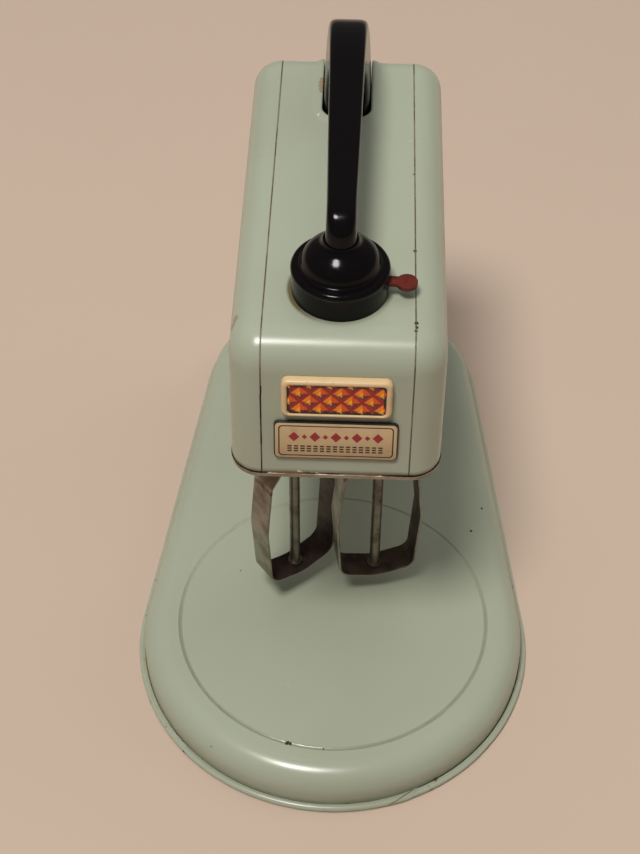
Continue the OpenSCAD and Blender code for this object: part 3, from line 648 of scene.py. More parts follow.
@dataclass(frozen=True)
class CreamEnamel:
    """Cream enamel of the front plates, yellowed, with dirt in its nicks."""

    name: str = "cream_enamel"
    colour: Colour = srgb(218, 187, 142)
    stain: Colour = srgb(150, 116, 80)

    def material(self) -> Material:
        """Builds the enamel.

        Returns:
            The material.
        """
        shade = Shade(self.name)
        cloud = shade.noise(0.16, 4.0, 0.6)
        grit = shade.noise(1.8, 3.0, 0.6)
        nick = (shade.noise(0.8, 3.0, 0.65) - 0.66).step(0.0, 0.05)
        shade.bump(grit - nick, 0.02, 0.3)
        soiled = (cloud.step(0.5, 0.8) * 0.35).most(nick * 0.7)
        return shade.surface(Base_Color=shade.mix(soiled, self.colour, self.stain),
                             Roughness=0.3 + grit * 0.14)


@dataclass(frozen=True)
class TwoTone:
    """Finish in two tones that meet in soft clouds, under a fine grain.

    Noises are given as features per millimetre, detail and roughness. Without a cloud of its own the finish
    takes the grain for one, and share is what the grain has in the cloud. Edge holds the cloud's values
    between which the second tone comes in, rough the least roughness and what the grain adds, and relief the
    depth and strength.
    """

    name: str
    colour: Colour
    second: Colour
    cloud: Point | None
    grain: Point
    edge: Flat
    amount: float
    rough: Flat
    relief: Flat
    share: float = 0.0
    stretch: Point | None = None
    metallic: float = 0.0
    specular: float = 0.5

    def tinted(self, name: str, colour: Colour, second: Colour, rough: float | None = None) -> "TwoTone":
        """The same finish in other colours and, if given, another least roughness."""
        both = self.rough if rough is None else (rough, self.rough[1])
        return replace(self, name=name, colour=colour, second=second, rough=both)

    def material(self) -> Material:
        """Builds the finish.

        Returns:
            The material.
        """
        shade = Shade(self.name)
        grain = shade.noise(*self.grain, self.stretch)
        cloud = shade.noise(*self.cloud) if self.cloud else grain
        if self.share:
            cloud = cloud * (1 - self.share) + grain * self.share
        shade.bump(grain, *self.relief)
        return shade.surface(
            Base_Color=shade.mix(cloud.step(*self.edge) * self.amount, self.colour, self.second),
            Roughness=self.rough[0] + grain * self.rough[1], Metallic=self.metallic,
            Specular_IOR_Level=self.specular)


RED = TwoTone("red_enamel", srgb(98, 36, 26), srgb(72, 26, 19), (0.35, 3.0, 0.55), (2.4, 3.0, 0.6),
              (0.42, 0.68), 1.0, (0.38, 0.2), (0.03, 0.35), specular=0.35)
INK = TwoTone("dark_ink", srgb(26, 31, 30), srgb(52, 56, 48), None, (1.6, 4.0, 0.65), (0.5, 0.72), 0.55,
              (0.34, 0.16), (0.01, 0.3))
DIRT = TwoTone("seam_dirt", srgb(92, 80, 56), srgb(136, 126, 98), (0.09, 3.0, 0.6), (1.2, 4.0, 0.7),
               (0.44, 0.6), 1.0, (0.75, 0.2), (0.05, 0.6), share=0.35, specular=0.15)
STEEL = TwoTone("plain_steel", srgb(168, 168, 170), srgb(116, 112, 108), (0.2, 3.0, 0.55), (2.0, 2.0, 0.5),
                (0.4, 0.72), 0.7, (0.34, 0.14), (0.01, 0.3), stretch=(0.1, 1.0, 1.0), metallic=0.95)
BOARD = TwoTone("fibre_board", srgb(142, 98, 62), srgb(98, 64, 40), None, (0.8, 4.0, 0.65), (0.42, 0.66), 0.6,
                (0.75, 0.15), (0.03, 0.3))


@dataclass(frozen=True)
class Lattice:
    """Diamond lattice of the faceted field, in millimetres on the front."""

    middle_z: float = 131.8
    half_w: float = 13.3
    half_h: float = 4.9
    pitch: float = 2.825
    first_u: float = -12.85
    first_v: float = -3.6
    band: float = 0.2
    out: float = 1.32
    low: float = 0.4
    band_rise: float = 0.06
    rise: float = 0.6
    peak_up: float = 0.25

    def centres(self) -> list[Flat]:
        """Middles of the diamonds, with those whose edges only reach into the field."""
        return [(self.first_u + self.pitch * i, self.first_v + self.pitch * j)
                for j in range(-1, 5) for i in range(-1, 11) if (i + j) % 2]


@dataclass(frozen=True)
class AmberPrint:
    """Amber and red print on the faceted field: four slopes to a diamond, with dark bands between."""

    lattice: Lattice = Lattice()
    # Height that the print gains because the field stands off the leaning front
    lift: float = 0.22
    core: Colour = srgb(244, 176, 26)
    fleck: Colour = srgb(238, 206, 140)
    left: Colour = srgb(226, 122, 34)
    right: Colour = srgb(214, 86, 38)
    under_left: Colour = srgb(146, 44, 40)
    under_right: Colour = srgb(126, 30, 36)
    band: Colour = srgb(164, 40, 28)
    shadow: Colour = srgb(136, 28, 26)

    def material(self) -> Material:
        """Builds the print.

        Returns:
            The material.
        """
        shade = Shade("amber_print")
        grid = self.lattice
        wave = (shade.noise(0.7, 2.0) - 0.5) * 0.16
        across = (shade.x - grid.first_u) / grid.pitch + 1 + wave
        up = (shade.z - grid.middle_z - self.lift) / math.cos(FRONT_LEAN)
        along = (up - grid.first_v) / grid.pitch + wave
        rising = across + along
        falling = across - along
        near_r = rising - (rising / 2).rounded() * 2
        near_f = falling - (falling / 2).rounded() * 2
        side = (near_r + near_f) / 2
        height = (near_r - near_f) / 2
        reach = abs(near_r).most(abs(near_f))
        right = side.step(-0.02, 0.06)
        grit = shade.noise(1.4, 3.0, 0.6)
        top = shade.mix(right, self.left, self.right)
        low = shade.mix(right, self.under_left, self.under_right)
        slopes = shade.mix(height.step(-0.1, 0.0), low, top)
        slant = side * 1.1 - height + 0.44 + (grit - 0.5) * 0.3
        glow = slant.step(0.0, 0.2) * (1 - side.step(0.0, 0.07)) * height.step(-0.24, -0.16)
        lit = shade.mix(glow, slopes, self.core)
        spark_x = (side - 0.02) / 0.1
        spark_z = (height + 0.26) / 0.08
        spark = 1 - (spark_x * spark_x + spark_z * spark_z).step(0.3, 1.0)
        tinted = shade.mix(spark, lit, self.fleck)
        band = (reach + (grit - 0.5) * 0.12).step(1 - grid.band - 0.05, 1 - grid.band + 0.05)
        lines = shade.mix(grit.step(0.42, 0.7), self.band, self.shadow)
        shade.bump(grit, 0.01, 0.3)
        return shade.surface(Base_Color=shade.mix(band, tinted, lines), Roughness=0.2 + grit * 0.12)


@dataclass(frozen=True)
class AgedTin:
    """Tinned steel gone grey and brown, with rust in its hollows."""

    name: str
    colour: Colour
    brown: Colour
    rust: Colour
    rust_from: float = 0.62
    shine: float = 0.92

    def material(self) -> Material:
        """Builds the metal.

        Returns:
            The material.
        """
        shade = Shade(self.name)
        cloud = shade.noise(0.14, 4.0, 0.62)
        spot = shade.noise(0.6, 4.0, 0.65)
        rub = shade.noise(1.2, 2.0, 0.5, (1.0, 1.0, 0.08))
        tarnish = cloud.step(0.38, 0.66)
        rusty = (spot * 0.6 + cloud * 0.4).step(self.rust_from - 0.04, self.rust_from + 0.06)
        tone = shade.mix(tarnish * 0.75, self.colour, self.brown)
        shade.bump(rub * 0.5 + spot * 0.5 + rusty * 0.8, 0.02, 0.4)
        return shade.surface(Base_Color=shade.mix(rusty, tone, self.rust),
                             Metallic=self.shine * (1 - rusty * 0.8),
                             Roughness=0.36 + tarnish * 0.16 + rusty * 0.25)


@dataclass(frozen=True)
class BeaterTin:
    """Tinned strip of the beaters: grey outside; inside darker and browner, as painted shade with tarnish."""

    outside: Colour = srgb(154, 147, 134)
    dull: Colour = srgb(112, 104, 90)
    # Colours of the inside, darkened as painted shade
    inside: Colour = srgb(70, 56, 46)
    dark: Colour = srgb(40, 29, 23)
    rust: Colour = srgb(96, 60, 36)
    gold: Colour = srgb(146, 114, 80)
    crease: Colour = srgb(34, 24, 17)
    # Height of the fold below the strip's tabs
    fold_z: float = 71.6

    def material(self) -> Material:
        """Builds the metal.

        Returns:
            The material.
        """
        shade = Shade("beater_tin")
        inner = shade.attribute("inner")
        cloud = shade.noise(0.13, 4.0, 0.6)
        spot = shade.noise(0.7, 4.0, 0.65)
        rub = shade.noise(1.1, 2.0, 0.5, (1.0, 1.0, 0.1))
        tarnish = cloud.step(0.36, 0.68)
        above = shade.z + (spot - 0.5) * 5 - self.fold_z
        crease = (1 - abs(above).step(0.4, 1.3)) * cloud.step(0.38, 0.58)
        tab = above.step(-0.6, 2.9)
        rusty = (spot * 0.6 + cloud * 0.4 + inner * 0.03).step(0.59, 0.69)
        clean = shade.mix(tarnish * 0.8, self.outside, self.dull)
        stained = shade.mix(tab * spot.step(0.35, 0.65) * 0.7, clean, self.gold)
        outer = shade.mix(crease * 0.75, stained, self.crease)
        # Inside of the loop: painted shade, with tarnish mixed in
        shaded_inside = shade.mix(tarnish, self.inside, self.dark)
        tone = shade.mix(inner, outer, shaded_inside)
        shade.bump(rub * 0.5 + spot * 0.5 + rusty * 0.6, 0.02, 0.4)
        return shade.surface(Base_Color=shade.mix(rusty * (0.75 - inner * 0.4), tone, self.rust),
                             Metallic=0.8 - rusty * 0.5 - inner * 0.35,
                             Roughness=0.36 + tarnish * 0.14 + rusty * 0.2 + inner * 0.12)


@dataclass(frozen=True)
class WornEdgeWithHighlight:
    """Bare tin along the floor's rim: bright where worn, brightest across the front middle as a painted
    highlight, rusty and grey elsewhere.
    """

    bright: Colour = srgb(240, 226, 204)
    dull: Colour = srgb(204, 194, 176)
    paint: Colour = srgb(164, 158, 138)
    rust: Colour = srgb(70, 48, 30)

    def material(self) -> Material:
        """Builds the worn metal.

        Returns:
            The material.
        """
        shade = Shade("worn_edge_with_highlight")
        patch = shade.noise(0.22, 3.0, 0.6)
        grain = shade.noise(1.3, 4.0, 0.65)
        # Painted highlight: more bright metal across the front middle
        middle = 1 - abs(shade.x).step(12.0, 20.0)
        rubbed_and_highlit = (patch * 0.6 + grain * 0.4 + middle * 0.1 - 0.1).step(0.47, 0.55)
        rusty = (shade.noise(0.35, 3.0, 0.6) * 0.7 + grain * 0.3).step(0.58, 0.66)
        metal = shade.mix(rubbed_and_highlit, self.dull, self.bright)
        painted = shade.mix((1 - patch).step(0.5, 0.6) * (1 - rubbed_and_highlit), metal, self.paint)
        shade.bump(grain, 0.06, 0.6)
        return shade.surface(Base_Color=shade.mix(rusty * 0.85, painted, self.rust),
                             Metallic=0.1 + rubbed_and_highlit * 0.3,
                             Roughness=0.3 + grain * 0.2 + rusty * 0.2)


@dataclass(frozen=True)
class RimDirtAndShade:
    """Painted shade in the crevice above the base's bead, with dirt: black at the right front, rusty at the
    left.
    """

    like: TwoTone = DIRT
    pale: Colour = srgb(118, 114, 96)
    olive: Colour = srgb(88, 82, 64)
    brown: Colour = srgb(108, 80, 52)
    black: Colour = srgb(20, 16, 12)

    def material(self) -> Material:
        """Builds the painted shade and dirt, with the grain of the other dirt.

        Returns:
            The material.
        """
        shade = Shade("rim_dirt_and_shade")
        patch = shade.noise(*self.like.cloud)
        grain = shade.noise(*self.like.grain)
        # Painted shade, darkest at the right front
        right = (shade.x + patch * 20).step(28.0, 42.0) * (1 - shade.y.step(-12.0, 10.0))
        left = (shade.x * -1).step(50.0, 58.0) * patch.step(0.35, 0.5)
        film = shade.mix((patch * 0.6 + grain * 0.4).step(0.42, 0.6), self.olive, self.pale)
        rusty = shade.mix(left, film, self.brown)
        shade.bump(grain, *self.like.relief)
        return shade.surface(
            Base_Color=shade.mix(right, rusty, self.black),
            Roughness=self.like.rough[0] + grain * self.like.rough[1], Specular_IOR_Level=self.like.specular)


class Finishes:
    """All finishes of the toy, made once and shared."""

    def __init__(self) -> None:
        """Builds every material."""
        self.head_mint = MintEnamel(Coat.HEAD).material()
        self.base_mint = MintEnamel(Coat.BASE).material()
        self.column_mint = MintEnamel(Coat.COLUMN).material()
        self.black = BlackMoulding().material()
        self.red = RED.material()
        self.cream = CreamEnamel().material()
        self.plate_cream = CreamEnamel("plate_cream", srgb(200, 170, 130), srgb(140, 110, 78)).material()
        self.ink = INK.material()
        self.ruby = INK.tinted("ruby_ink", srgb(152, 34, 42), srgb(176, 70, 62)).material()
        self.amber = AmberPrint().material()
        self.beater_tin = BeaterTin().material()
        self.rod = AgedTin("rod_steel", srgb(140, 131, 119), srgb(96, 87, 76), srgb(58, 42, 32)).material()
        self.edge = WornEdgeWithHighlight().material()
        self.seam_dirt = DIRT.material()
        self.gap_dirt = DIRT.tinted("gap_dirt", srgb(20, 15, 9), srgb(46, 34, 20)).material()
        self.lip_stain = DIRT.tinted("lip_stain", srgb(54, 40, 22), srgb(112, 88, 54)).material()
        # Painted shade with dirt in the base's crevice
        self.rim_dirt_and_shade = RimDirtAndShade().material()
        self.floor_tin = AgedTin("floor_tin", srgb(158, 148, 128), srgb(128, 116, 96), srgb(84, 62, 42),
                                 0.68, 0.3).material()
        self.steel = STEEL.material()
        self.brass = STEEL.tinted("brass", srgb(206, 174, 104), srgb(142, 112, 62)).material()
        self.motor = STEEL.tinted("motor_steel", srgb(180, 180, 182), srgb(140, 138, 134), 0.28).material()
        self.fibre = BOARD.material()
        self.cell = BOARD.tinted("cell_jacket", srgb(150, 44, 34), srgb(110, 30, 24), 0.35).material()
        self.wire = BOARD.tinted("wire_sleeve", srgb(120, 30, 26), srgb(90, 20, 20), 0.55).material()


def dress(material: Material, *nodes: str) -> None:
    """Gives CAD nodes a material in place of their own.

    Args:
        material: Their new finish.
        nodes: Names of the nodes.
    """
    for name in nodes:
        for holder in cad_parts[name].material_slots:
            holder.material = material
        LOG.info("dressed %s in %s", name, material.name)


def mesh_piece(name: str, mesh: Mesh, material: Material, body: str,
               stands_for: Sequence[str] = ()) -> None:
    """Adds a finished mesh as a piece of the toy.

    Args:
        name: Piece name.
        mesh: Its mesh, in the frame's metres.
        material: Its finish.
        body: CAD body that carries it.
        stands_for: CAD nodes that it replaces.
    """
    mesh.materials.clear()
    mesh.materials.append(material)
    mesh.name = name
    obj = bpy.data.objects.new(name, mesh)
    bpy.context.scene.collection.objects.link(obj)
    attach(obj, body)
    if stands_for:
        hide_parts(*stands_for)
    LOG.info("piece %s on %s: %d faces", name, body, len(mesh.polygons))


def hull_path(circles: Sequence[Point], grow: float, steps: int) -> list[Flat]:
    """Outline of a band drawn tight round some circles.

    Args:
        circles: Centre and radius of each.
        grow: Added to every radius.
        steps: Points on a full circle.

    Returns:
        The outline's points, anticlockwise.
    """
    turns = [math.tau * k / steps for k in range(steps)]
    dots = sorted({(round(x + (r + grow) * math.cos(turn), 5), round(y + (r + grow) * math.sin(turn), 5))
                   for x, y, r in circles for turn in turns})

    def half(points: Sequence[Flat]) -> list[Flat]:
        """One side of the outline.

        Args:
            points: Points in order along it.

        Returns:
            Those on the outline, without the last.
        """
        line: list[Flat] = []
        for dot in points:
            while len(line) > 1:
                (ax, ay), (bx, by) = line[-2:]
                if (bx - ax) * (dot[1] - ay) - (by - ay) * (dot[0] - ax) > 0:
                    break
                line.pop()
            line.append(dot)
        return line[:-1]
    return half(dots) + half(dots[::-1])


def path_mesh(points: Sequence[Point], closed: bool) -> Mesh:
    """Mesh of edges only.

    Args:
        points: Points in datum millimetres.
        closed: Whether the last joins the first.

    Returns:
        The mesh, in the frame's metres.
    """
    count = len(points)
    mesh = bpy.data.meshes.new("path")
    mesh.from_pydata([place(*p) for p in points],
                     [(k, (k + 1) % count) for k in range(count if closed else count - 1)], [])
    return mesh


def finished(work: bmesh.types.BMesh) -> Mesh:
    """Turns an editing mesh into a mesh and frees it.

    Args:
        work: Editing mesh.

    Returns:
        The mesh.
    """
    mesh = bpy.data.meshes.new("skin")
    work.to_mesh(mesh)
    work.free()
    return mesh


def skin(rings: Sequence[Sequence[Point]], closed_run: bool = False, sharp: float = 40.0) -> Mesh:
    """Closed skin over rings of points in datum millimetres.

    Args:
        rings: Rings with equal numbers of points.
        closed_run: Joins the last ring to the first instead of capping both.
        sharp: Angle in degrees above which an edge stays sharp.

    Returns:
        The mesh, in the frame's metres.
    """
    work = bmesh.new()
    rows = [[work.verts.new(place(*p)) for p in ring] for ring in rings]
    count = len(rows[0])
    for a, b in zip(rows, rows[1:] + (rows[:1] if closed_run else [])):
        for k in range(count):
            work.faces.new((a[k], a[(k + 1) % count], b[(k + 1) % count], b[k]))
    if not closed_run:
        work.faces.new(rows[0][::-1])
        work.faces.new(rows[-1])
    bmesh.ops.remove_doubles(work, verts=work.verts, dist=1e-6)
    bmesh.ops.recalc_face_normals(work, faces=work.faces)
    mesh = finished(work)
    mesh.shade_smooth()
    mesh.set_sharp_from_angle(angle=math.radians(sharp))
    return mesh


def rounded_box(half_w: float, half_h: float, radius: float, steps: int = 8) -> list[Flat]:
    """Rectangle with rounded corners.

    Args:
        half_w: Half its width.
        half_h: Half its height.
        radius: Radius of its corners.
        steps: Parts of each corner.

    Returns:
        Its points, anticlockwise.
    """
    points = []
    for corner, (sx, sy) in enumerate(((1, 1), (-1, 1), (-1, -1), (1, -1))):
        for k in range(steps + 1):
            turn = math.pi / 2 * (corner + k / steps)
            points.append((sx * (half_w - radius) + radius * math.cos(turn),
                           sy * (half_h - radius) + radius * math.sin(turn)))
    return points


def front_rings(middle_z: float, layers: Sequence[Layer]) -> list[list[Point]]:
    """Rounded rectangles stacked on the head's front, about a middle height, in datum millimetres."""
    return [[on_front(middle_z, u, v + shift, out) for u, v in rounded_box(half_w, half_h, radius)]
            for half_w, half_h, radius, shift, out in layers]


@dataclass
class Stand:
    """Base, pedestal and hinge."""

    finishes: Finishes
    tubes: TubeGrowth
    base_rings: tuple[Point, ...] = ((0.0, RING_Y, 62.0), (18.33, 113.5, 30.0), (-18.33, 113.5, 30.0))
    crevice_z: float = 1.72
    bead_r: float = 1.2
    bead_at: Flat = (63.0, 0.95)
    lap_from: float = math.radians(-75.0)
    lap_to: float = math.radians(-65.2)
    lap_steps: int = 14
    lap_sides: int = 28
    # Start, growth and power of the lap's swell, and how far and where round the bead its end slants
    lap_swell: Point = (0.95, 0.2, 0.7)
    lap_slant: Flat = (0.03, 2.4)
    # Start and run of the crease along the lap and round the bead
    crease_part: Flat = (0.25, 0.8)
    crease_turn: Flat = (0.35, 1.75)
    crease_swell: float = 1.13
    crease_steps: int = 24
    floor_gap: float = 0.05
    # Thread of painted shade and dirt in the crevice above the bead
    grime_and_shade: Thread = Thread(0.2, 0.9, 40.0, 0.9, 4.0)
    crease: Thread = Thread(0.13, 0.6, 200.0, 0.3, 6.0)

    def build(self) -> None:
        """Dresses the stand and adds painted shade with dirt in the crevice, the lap and its crease at its
        rim.
        """
        kit = self.finishes
        dress(kit.base_mint, "base_shell")
        dress(kit.column_mint, "column_shell", "column_back")
        dress(kit.steel, "hinge_sleeve", "hinge_pin")
        line = [(x, y, self.crevice_z) for x, y in hull_path(self.base_rings, grow=0.1, steps=240)]
        # Painted shade with dirt in the crevice above the bead
        self.tubes.lay("rim_grime_and_shade", line, True, self.grime_and_shade, kit.rim_dirt_and_shade, "base", "mint_enamel")
        mesh_piece("rim_lap", self.lap_mesh(), kit.base_mint, "base")
        line = self.crease_line()
        self.tubes.lay("rim_crease", line, False, self.crease, kit.seam_dirt, "base", "mint_enamel")

    def bead_point(self, part: float, turn: float, swell: float, slant: float = 0.0) -> Point:
        """Point on or over the rolled bead.

        Args:
            part: Place along the lap, from zero to one.
            turn: Angle round the bead's section.
            swell: Radius over the bead's own.
            slant: Angle by which the section leans along the rim.

        Returns:
            The point, kept off the floor.
        """
        around = self.lap_from + (self.lap_to - self.lap_from) * part + slant
        radius = self.bead_r * swell
        out = self.bead_at[0] + radius * math.cos(turn)
        up = self.bead_at[1] + radius * math.sin(turn)
        return out * math.cos(around), out * math.sin(around) + RING_Y, max(self.floor_gap, up)

    def crease_line(self) -> list[Point]:
        """Line across the bead where the overlap ends.

        Returns:
            Points from the outer foot of the bead to its inner top.
        """
        line = []
        for k in range(self.crease_steps + 1):
            run = k / self.crease_steps
            part = self.crease_part[0] + self.crease_part[1] * run
            turn = self.crease_turn[0] + self.crease_turn[1] * run
            line.append(self.bead_point(part, turn, self.crease_swell))
        return line

    def lap_mesh(self) -> Mesh:
        """Short overlap where the rolled bead's two ends meet.

        Returns:
            Its mesh.
        """
        turns = [math.tau * q / self.lap_sides for q in range(self.lap_sides)]
        least, more, power = self.lap_swell
        lean, side = self.lap_slant
        rings = []
        for k in range(self.lap_steps + 1):
            part = k / self.lap_steps
            swell = least + more * part ** power
            rings.append([self.bead_point(part, turn, swell, lean * part * math.cos(turn - side))
                          for turn in turns])
        return skin(rings)


@dataclass
class Head:
    """Shells of the head, its floor and what it hides."""

    finishes: Finishes
    tubes: TubeGrowth
    slot_half: float = 7.55
    slot_front: float = 85.3
    slot_r: float = 5.0
    slot_foot: Flat = (135.0, 136.5)
    slot_arc: int = 12
    slot_run: int = 6
    # Distance from the slot and height of the points of the flange's section
    flange: tuple[Flat, ...] = (
        (-0.05, -0.5), (-0.05, 0.5), (0.03, 0.7), (0.25, 0.83), (0.6, 0.87), (0.95, 0.8), (1.35, 0.62),
        (1.8, 0.4), (2.3, 0.18), (2.9, 0.03), (3.4, -0.08), (1.6, -0.5))
    floor_rings: tuple[Point, ...] = (
        (21.1, -9.764, 8.6), (21.1, 112.9, 8.6), (-21.1, 112.9, 8.6), (-21.1, -9.764, 8.6))
    # Place across and height of the points of the crack
    crack: tuple[Flat, ...] = (
        (-20.55, 134.5), (-20.62, 132.2), (-20.78, 131.0), (-20.74, 122.0), (-20.72, 113.5))
    inset: float = 0.1
    arc_steps: int = 16
    # Where the dirt of the lip starts along the sides, and where it stops in front at the left and the right
    lip_start: float = 6.0
    lip_ends: Flat = (19.0, 13.0)
    stain_half: float = 18.0
    # Heights at which the dirt of the left and the right seam starts in front
    seam_starts: Flat = (131.0, 104.0)
    edge_wear: Thread = Thread(0.19, 1.1, 260.0, 0.4, 2.0)
    lip_dirt: Thread = Thread(0.27, 0.55, 300.0, 0.4, 5.0)
    lip_stain: Thread = Thread(0.2, 1.7, 200.0, 0.3, 11.0)
    crack_dirt: Thread = Thread(0.2, 0.5, 240.0, 0.4, 9.0)
    seam_dirt: Thread = Thread(0.172, 0.16, 260.0, 0.5, 7.0)

    def build(self) -> None:
        """Dresses the head and adds its flange, worn edge with its painted highlight, lip dirt, crack and
        seam dirt.
        """
        kit = self.finishes
        dress(kit.head_mint, "head_left_cover", "head_right_cover", "head_centre_shell")
        dress(kit.floor_tin, "head_bottom_plate", "battery_door")
        dress(kit.steel, "hinge_brackets", "bracket_rivets", "switch_pivot", "handle_screws", "gear_frame",
              "frame_screws", "motor_shaft", "left_spindle", "right_spindle", "door_hinge_pin")
        dress(kit.brass, "switch_contacts", "worm_bush", "drive_worm", "left_gear", "right_gear",
              "lower_bushes", "upper_bushes", "motor_terminals", "battery_front_contact",
              "battery_rear_contacts")
        dress(kit.motor, "motor_can")
        dress(kit.fibre, "motor_end_cap", "battery_tray")
        dress(kit.cell, "battery_cells")
        dress(kit.wire, "lead_wires")
        mesh_piece("slot_flange", self.flange_mesh(), kit.head_mint, "head")
        edge = [(x, y, FLOOR_TOP - self.inset) for x, y in hull_path(self.floor_rings, grow=-0.08, steps=96)]
        _, ring_y, ring_r = self.floor_rings[0]
        stain = [(x, ring_y - ring_r + self.inset, HEAD_LOW) for x in (-self.stain_half, self.stain_half)]
        crack = [(x, front_y(z) + self.inset / 2, z) for x, z in self.crack]
        sides = (-1, 1)
        left_lip, right_lip = (self.lip_line(side, end) for side, end in zip(sides, self.lip_ends))
        left_seam, right_seam = (self.seam_line(side * SEAM_X, low)
                                 for side, low in zip(sides, self.seam_starts))
        for name, line, closed, thread, finish, slot in (
                ("worn_lower_edge_with_highlight", edge, True, self.edge_wear, kit.edge, "tinned_steel"),
                ("left_lip_dirt", left_lip, False, self.lip_dirt, kit.gap_dirt, "tinned_steel"),
                ("right_lip_dirt", right_lip, False, self.lip_dirt, kit.gap_dirt, "tinned_steel"),
                ("front_lip_stain", stain, False, self.lip_stain, kit.lip_stain, "mint_enamel"),
                ("left_seam_crack", crack, False, self.crack_dirt, kit.gap_dirt, "mint_enamel"),
                ("left_seam_dirt", left_seam, False, self.seam_dirt, kit.seam_dirt, "mint_enamel"),
                ("right_seam_dirt", right_seam, False, self.seam_dirt, kit.seam_dirt, "mint_enamel")):
            self.tubes.lay(name, line, closed, thread, finish, "head", slot)

    def lip_line(self, side: int, end: float) -> list[Point]:
        """Gap between the covers and the floor round one front corner.

        Args:
            side: Minus one for the left corner, one for the right.
            end: How far from the middle the line stops.

        Returns:
            Points from the side to the front.
        """
        x, y, radius = self.floor_rings[0]
        radius -= self.inset
        turns = [math.pi / 2 * k / self.arc_steps for k in range(self.arc_steps + 1)]
        arc = [(x + radius * math.cos(turn), y - radius * math.sin(turn)) for turn in turns]
        return [(side * u, v, (HEAD_LOW + FLOOR_TOP) / 2)
                for u, v in ((x + radius, self.lip_start), *arc, (end, y - radius))]

    def seam_line(self, x: float, low: float) -> list[Point]:
        """Line just inside a seam of the head, from its front over the top to its rear.

        Args:
            x: Place across.
            low: Height at which it starts in front.

        Returns:
            The line's points.
        """
        radius = BEND_R - self.inset
        middle = HEAD_TOP - BEND_R
        points = [(x, front_y(low) + self.inset / math.cos(FRONT_LEAN), low)]
        level = math.pi / 2
        for bend_y, start, end in ((BEND_Y, math.pi - FRONT_LEAN, level), (HEAD_REAR - BEND_R, level, 0.0)):
            for k in range(self.arc_steps + 1):
                turn = start + (end - start) * k / self.arc_steps
                points.append((x, bend_y + radius * math.cos(turn), middle + radius * math.sin(turn)))
        points.append((x, HEAD_REAR - self.inset, HEAD_LOW + 0.6))
        return points

    def flange_path(self) -> list[tuple[Vector, Vector, Vector]]:
        """Edge of the handle's slot from its left rear round the front to its right rear.

        Returns:
            Point, direction away from the slot and surface normal of each station.
        """
        out, back, top = Vector((-1, 0, 0)), Vector((0, 1, 0)), Vector((0, 0, 1))
        bend_y = HEAD_REAR - BEND_R
        rear_y = self.slot_front + self.slot_r
        half = [(Vector((-self.slot_half, HEAD_REAR, z)), out, back) for z in self.slot_foot]
        for k in range(self.slot_arc + 1):
            turn = math.pi / 2 * (1 - k / self.slot_arc)
            normal = Vector((0, math.sin(turn), math.cos(turn)))
            half.append((Vector((-self.slot_half, bend_y, HEAD_TOP - BEND_R)) + normal * BEND_R, out, normal))
        for k in range(1, self.slot_run):
            y = bend_y + (rear_y - bend_y) * k / self.slot_run
            half.append((Vector((-self.slot_half, y, HEAD_TOP)), out, top))
        for k in range(self.slot_arc + 1):
            turn = math.pi * (1 + 0.5 * k / self.slot_arc)
            away = Vector((math.cos(turn), math.sin(turn), 0))
            middle = Vector((self.slot_r - self.slot_half, rear_y, HEAD_TOP))
            half.append((middle + away * self.slot_r, away, top))
        flip = Vector((-1, 1, 1))
        return half + [(p * flip, a * flip, n * flip) for p, a, n in reversed(half)]

    def flange_mesh(self) -> Mesh:
        """Soft turned-up lip round the handle's slot."""
        return skin([[tuple(at + away * d + up * h) for d, h in self.flange]
                     for at, away, up in self.flange_path()], sharp=60.0)


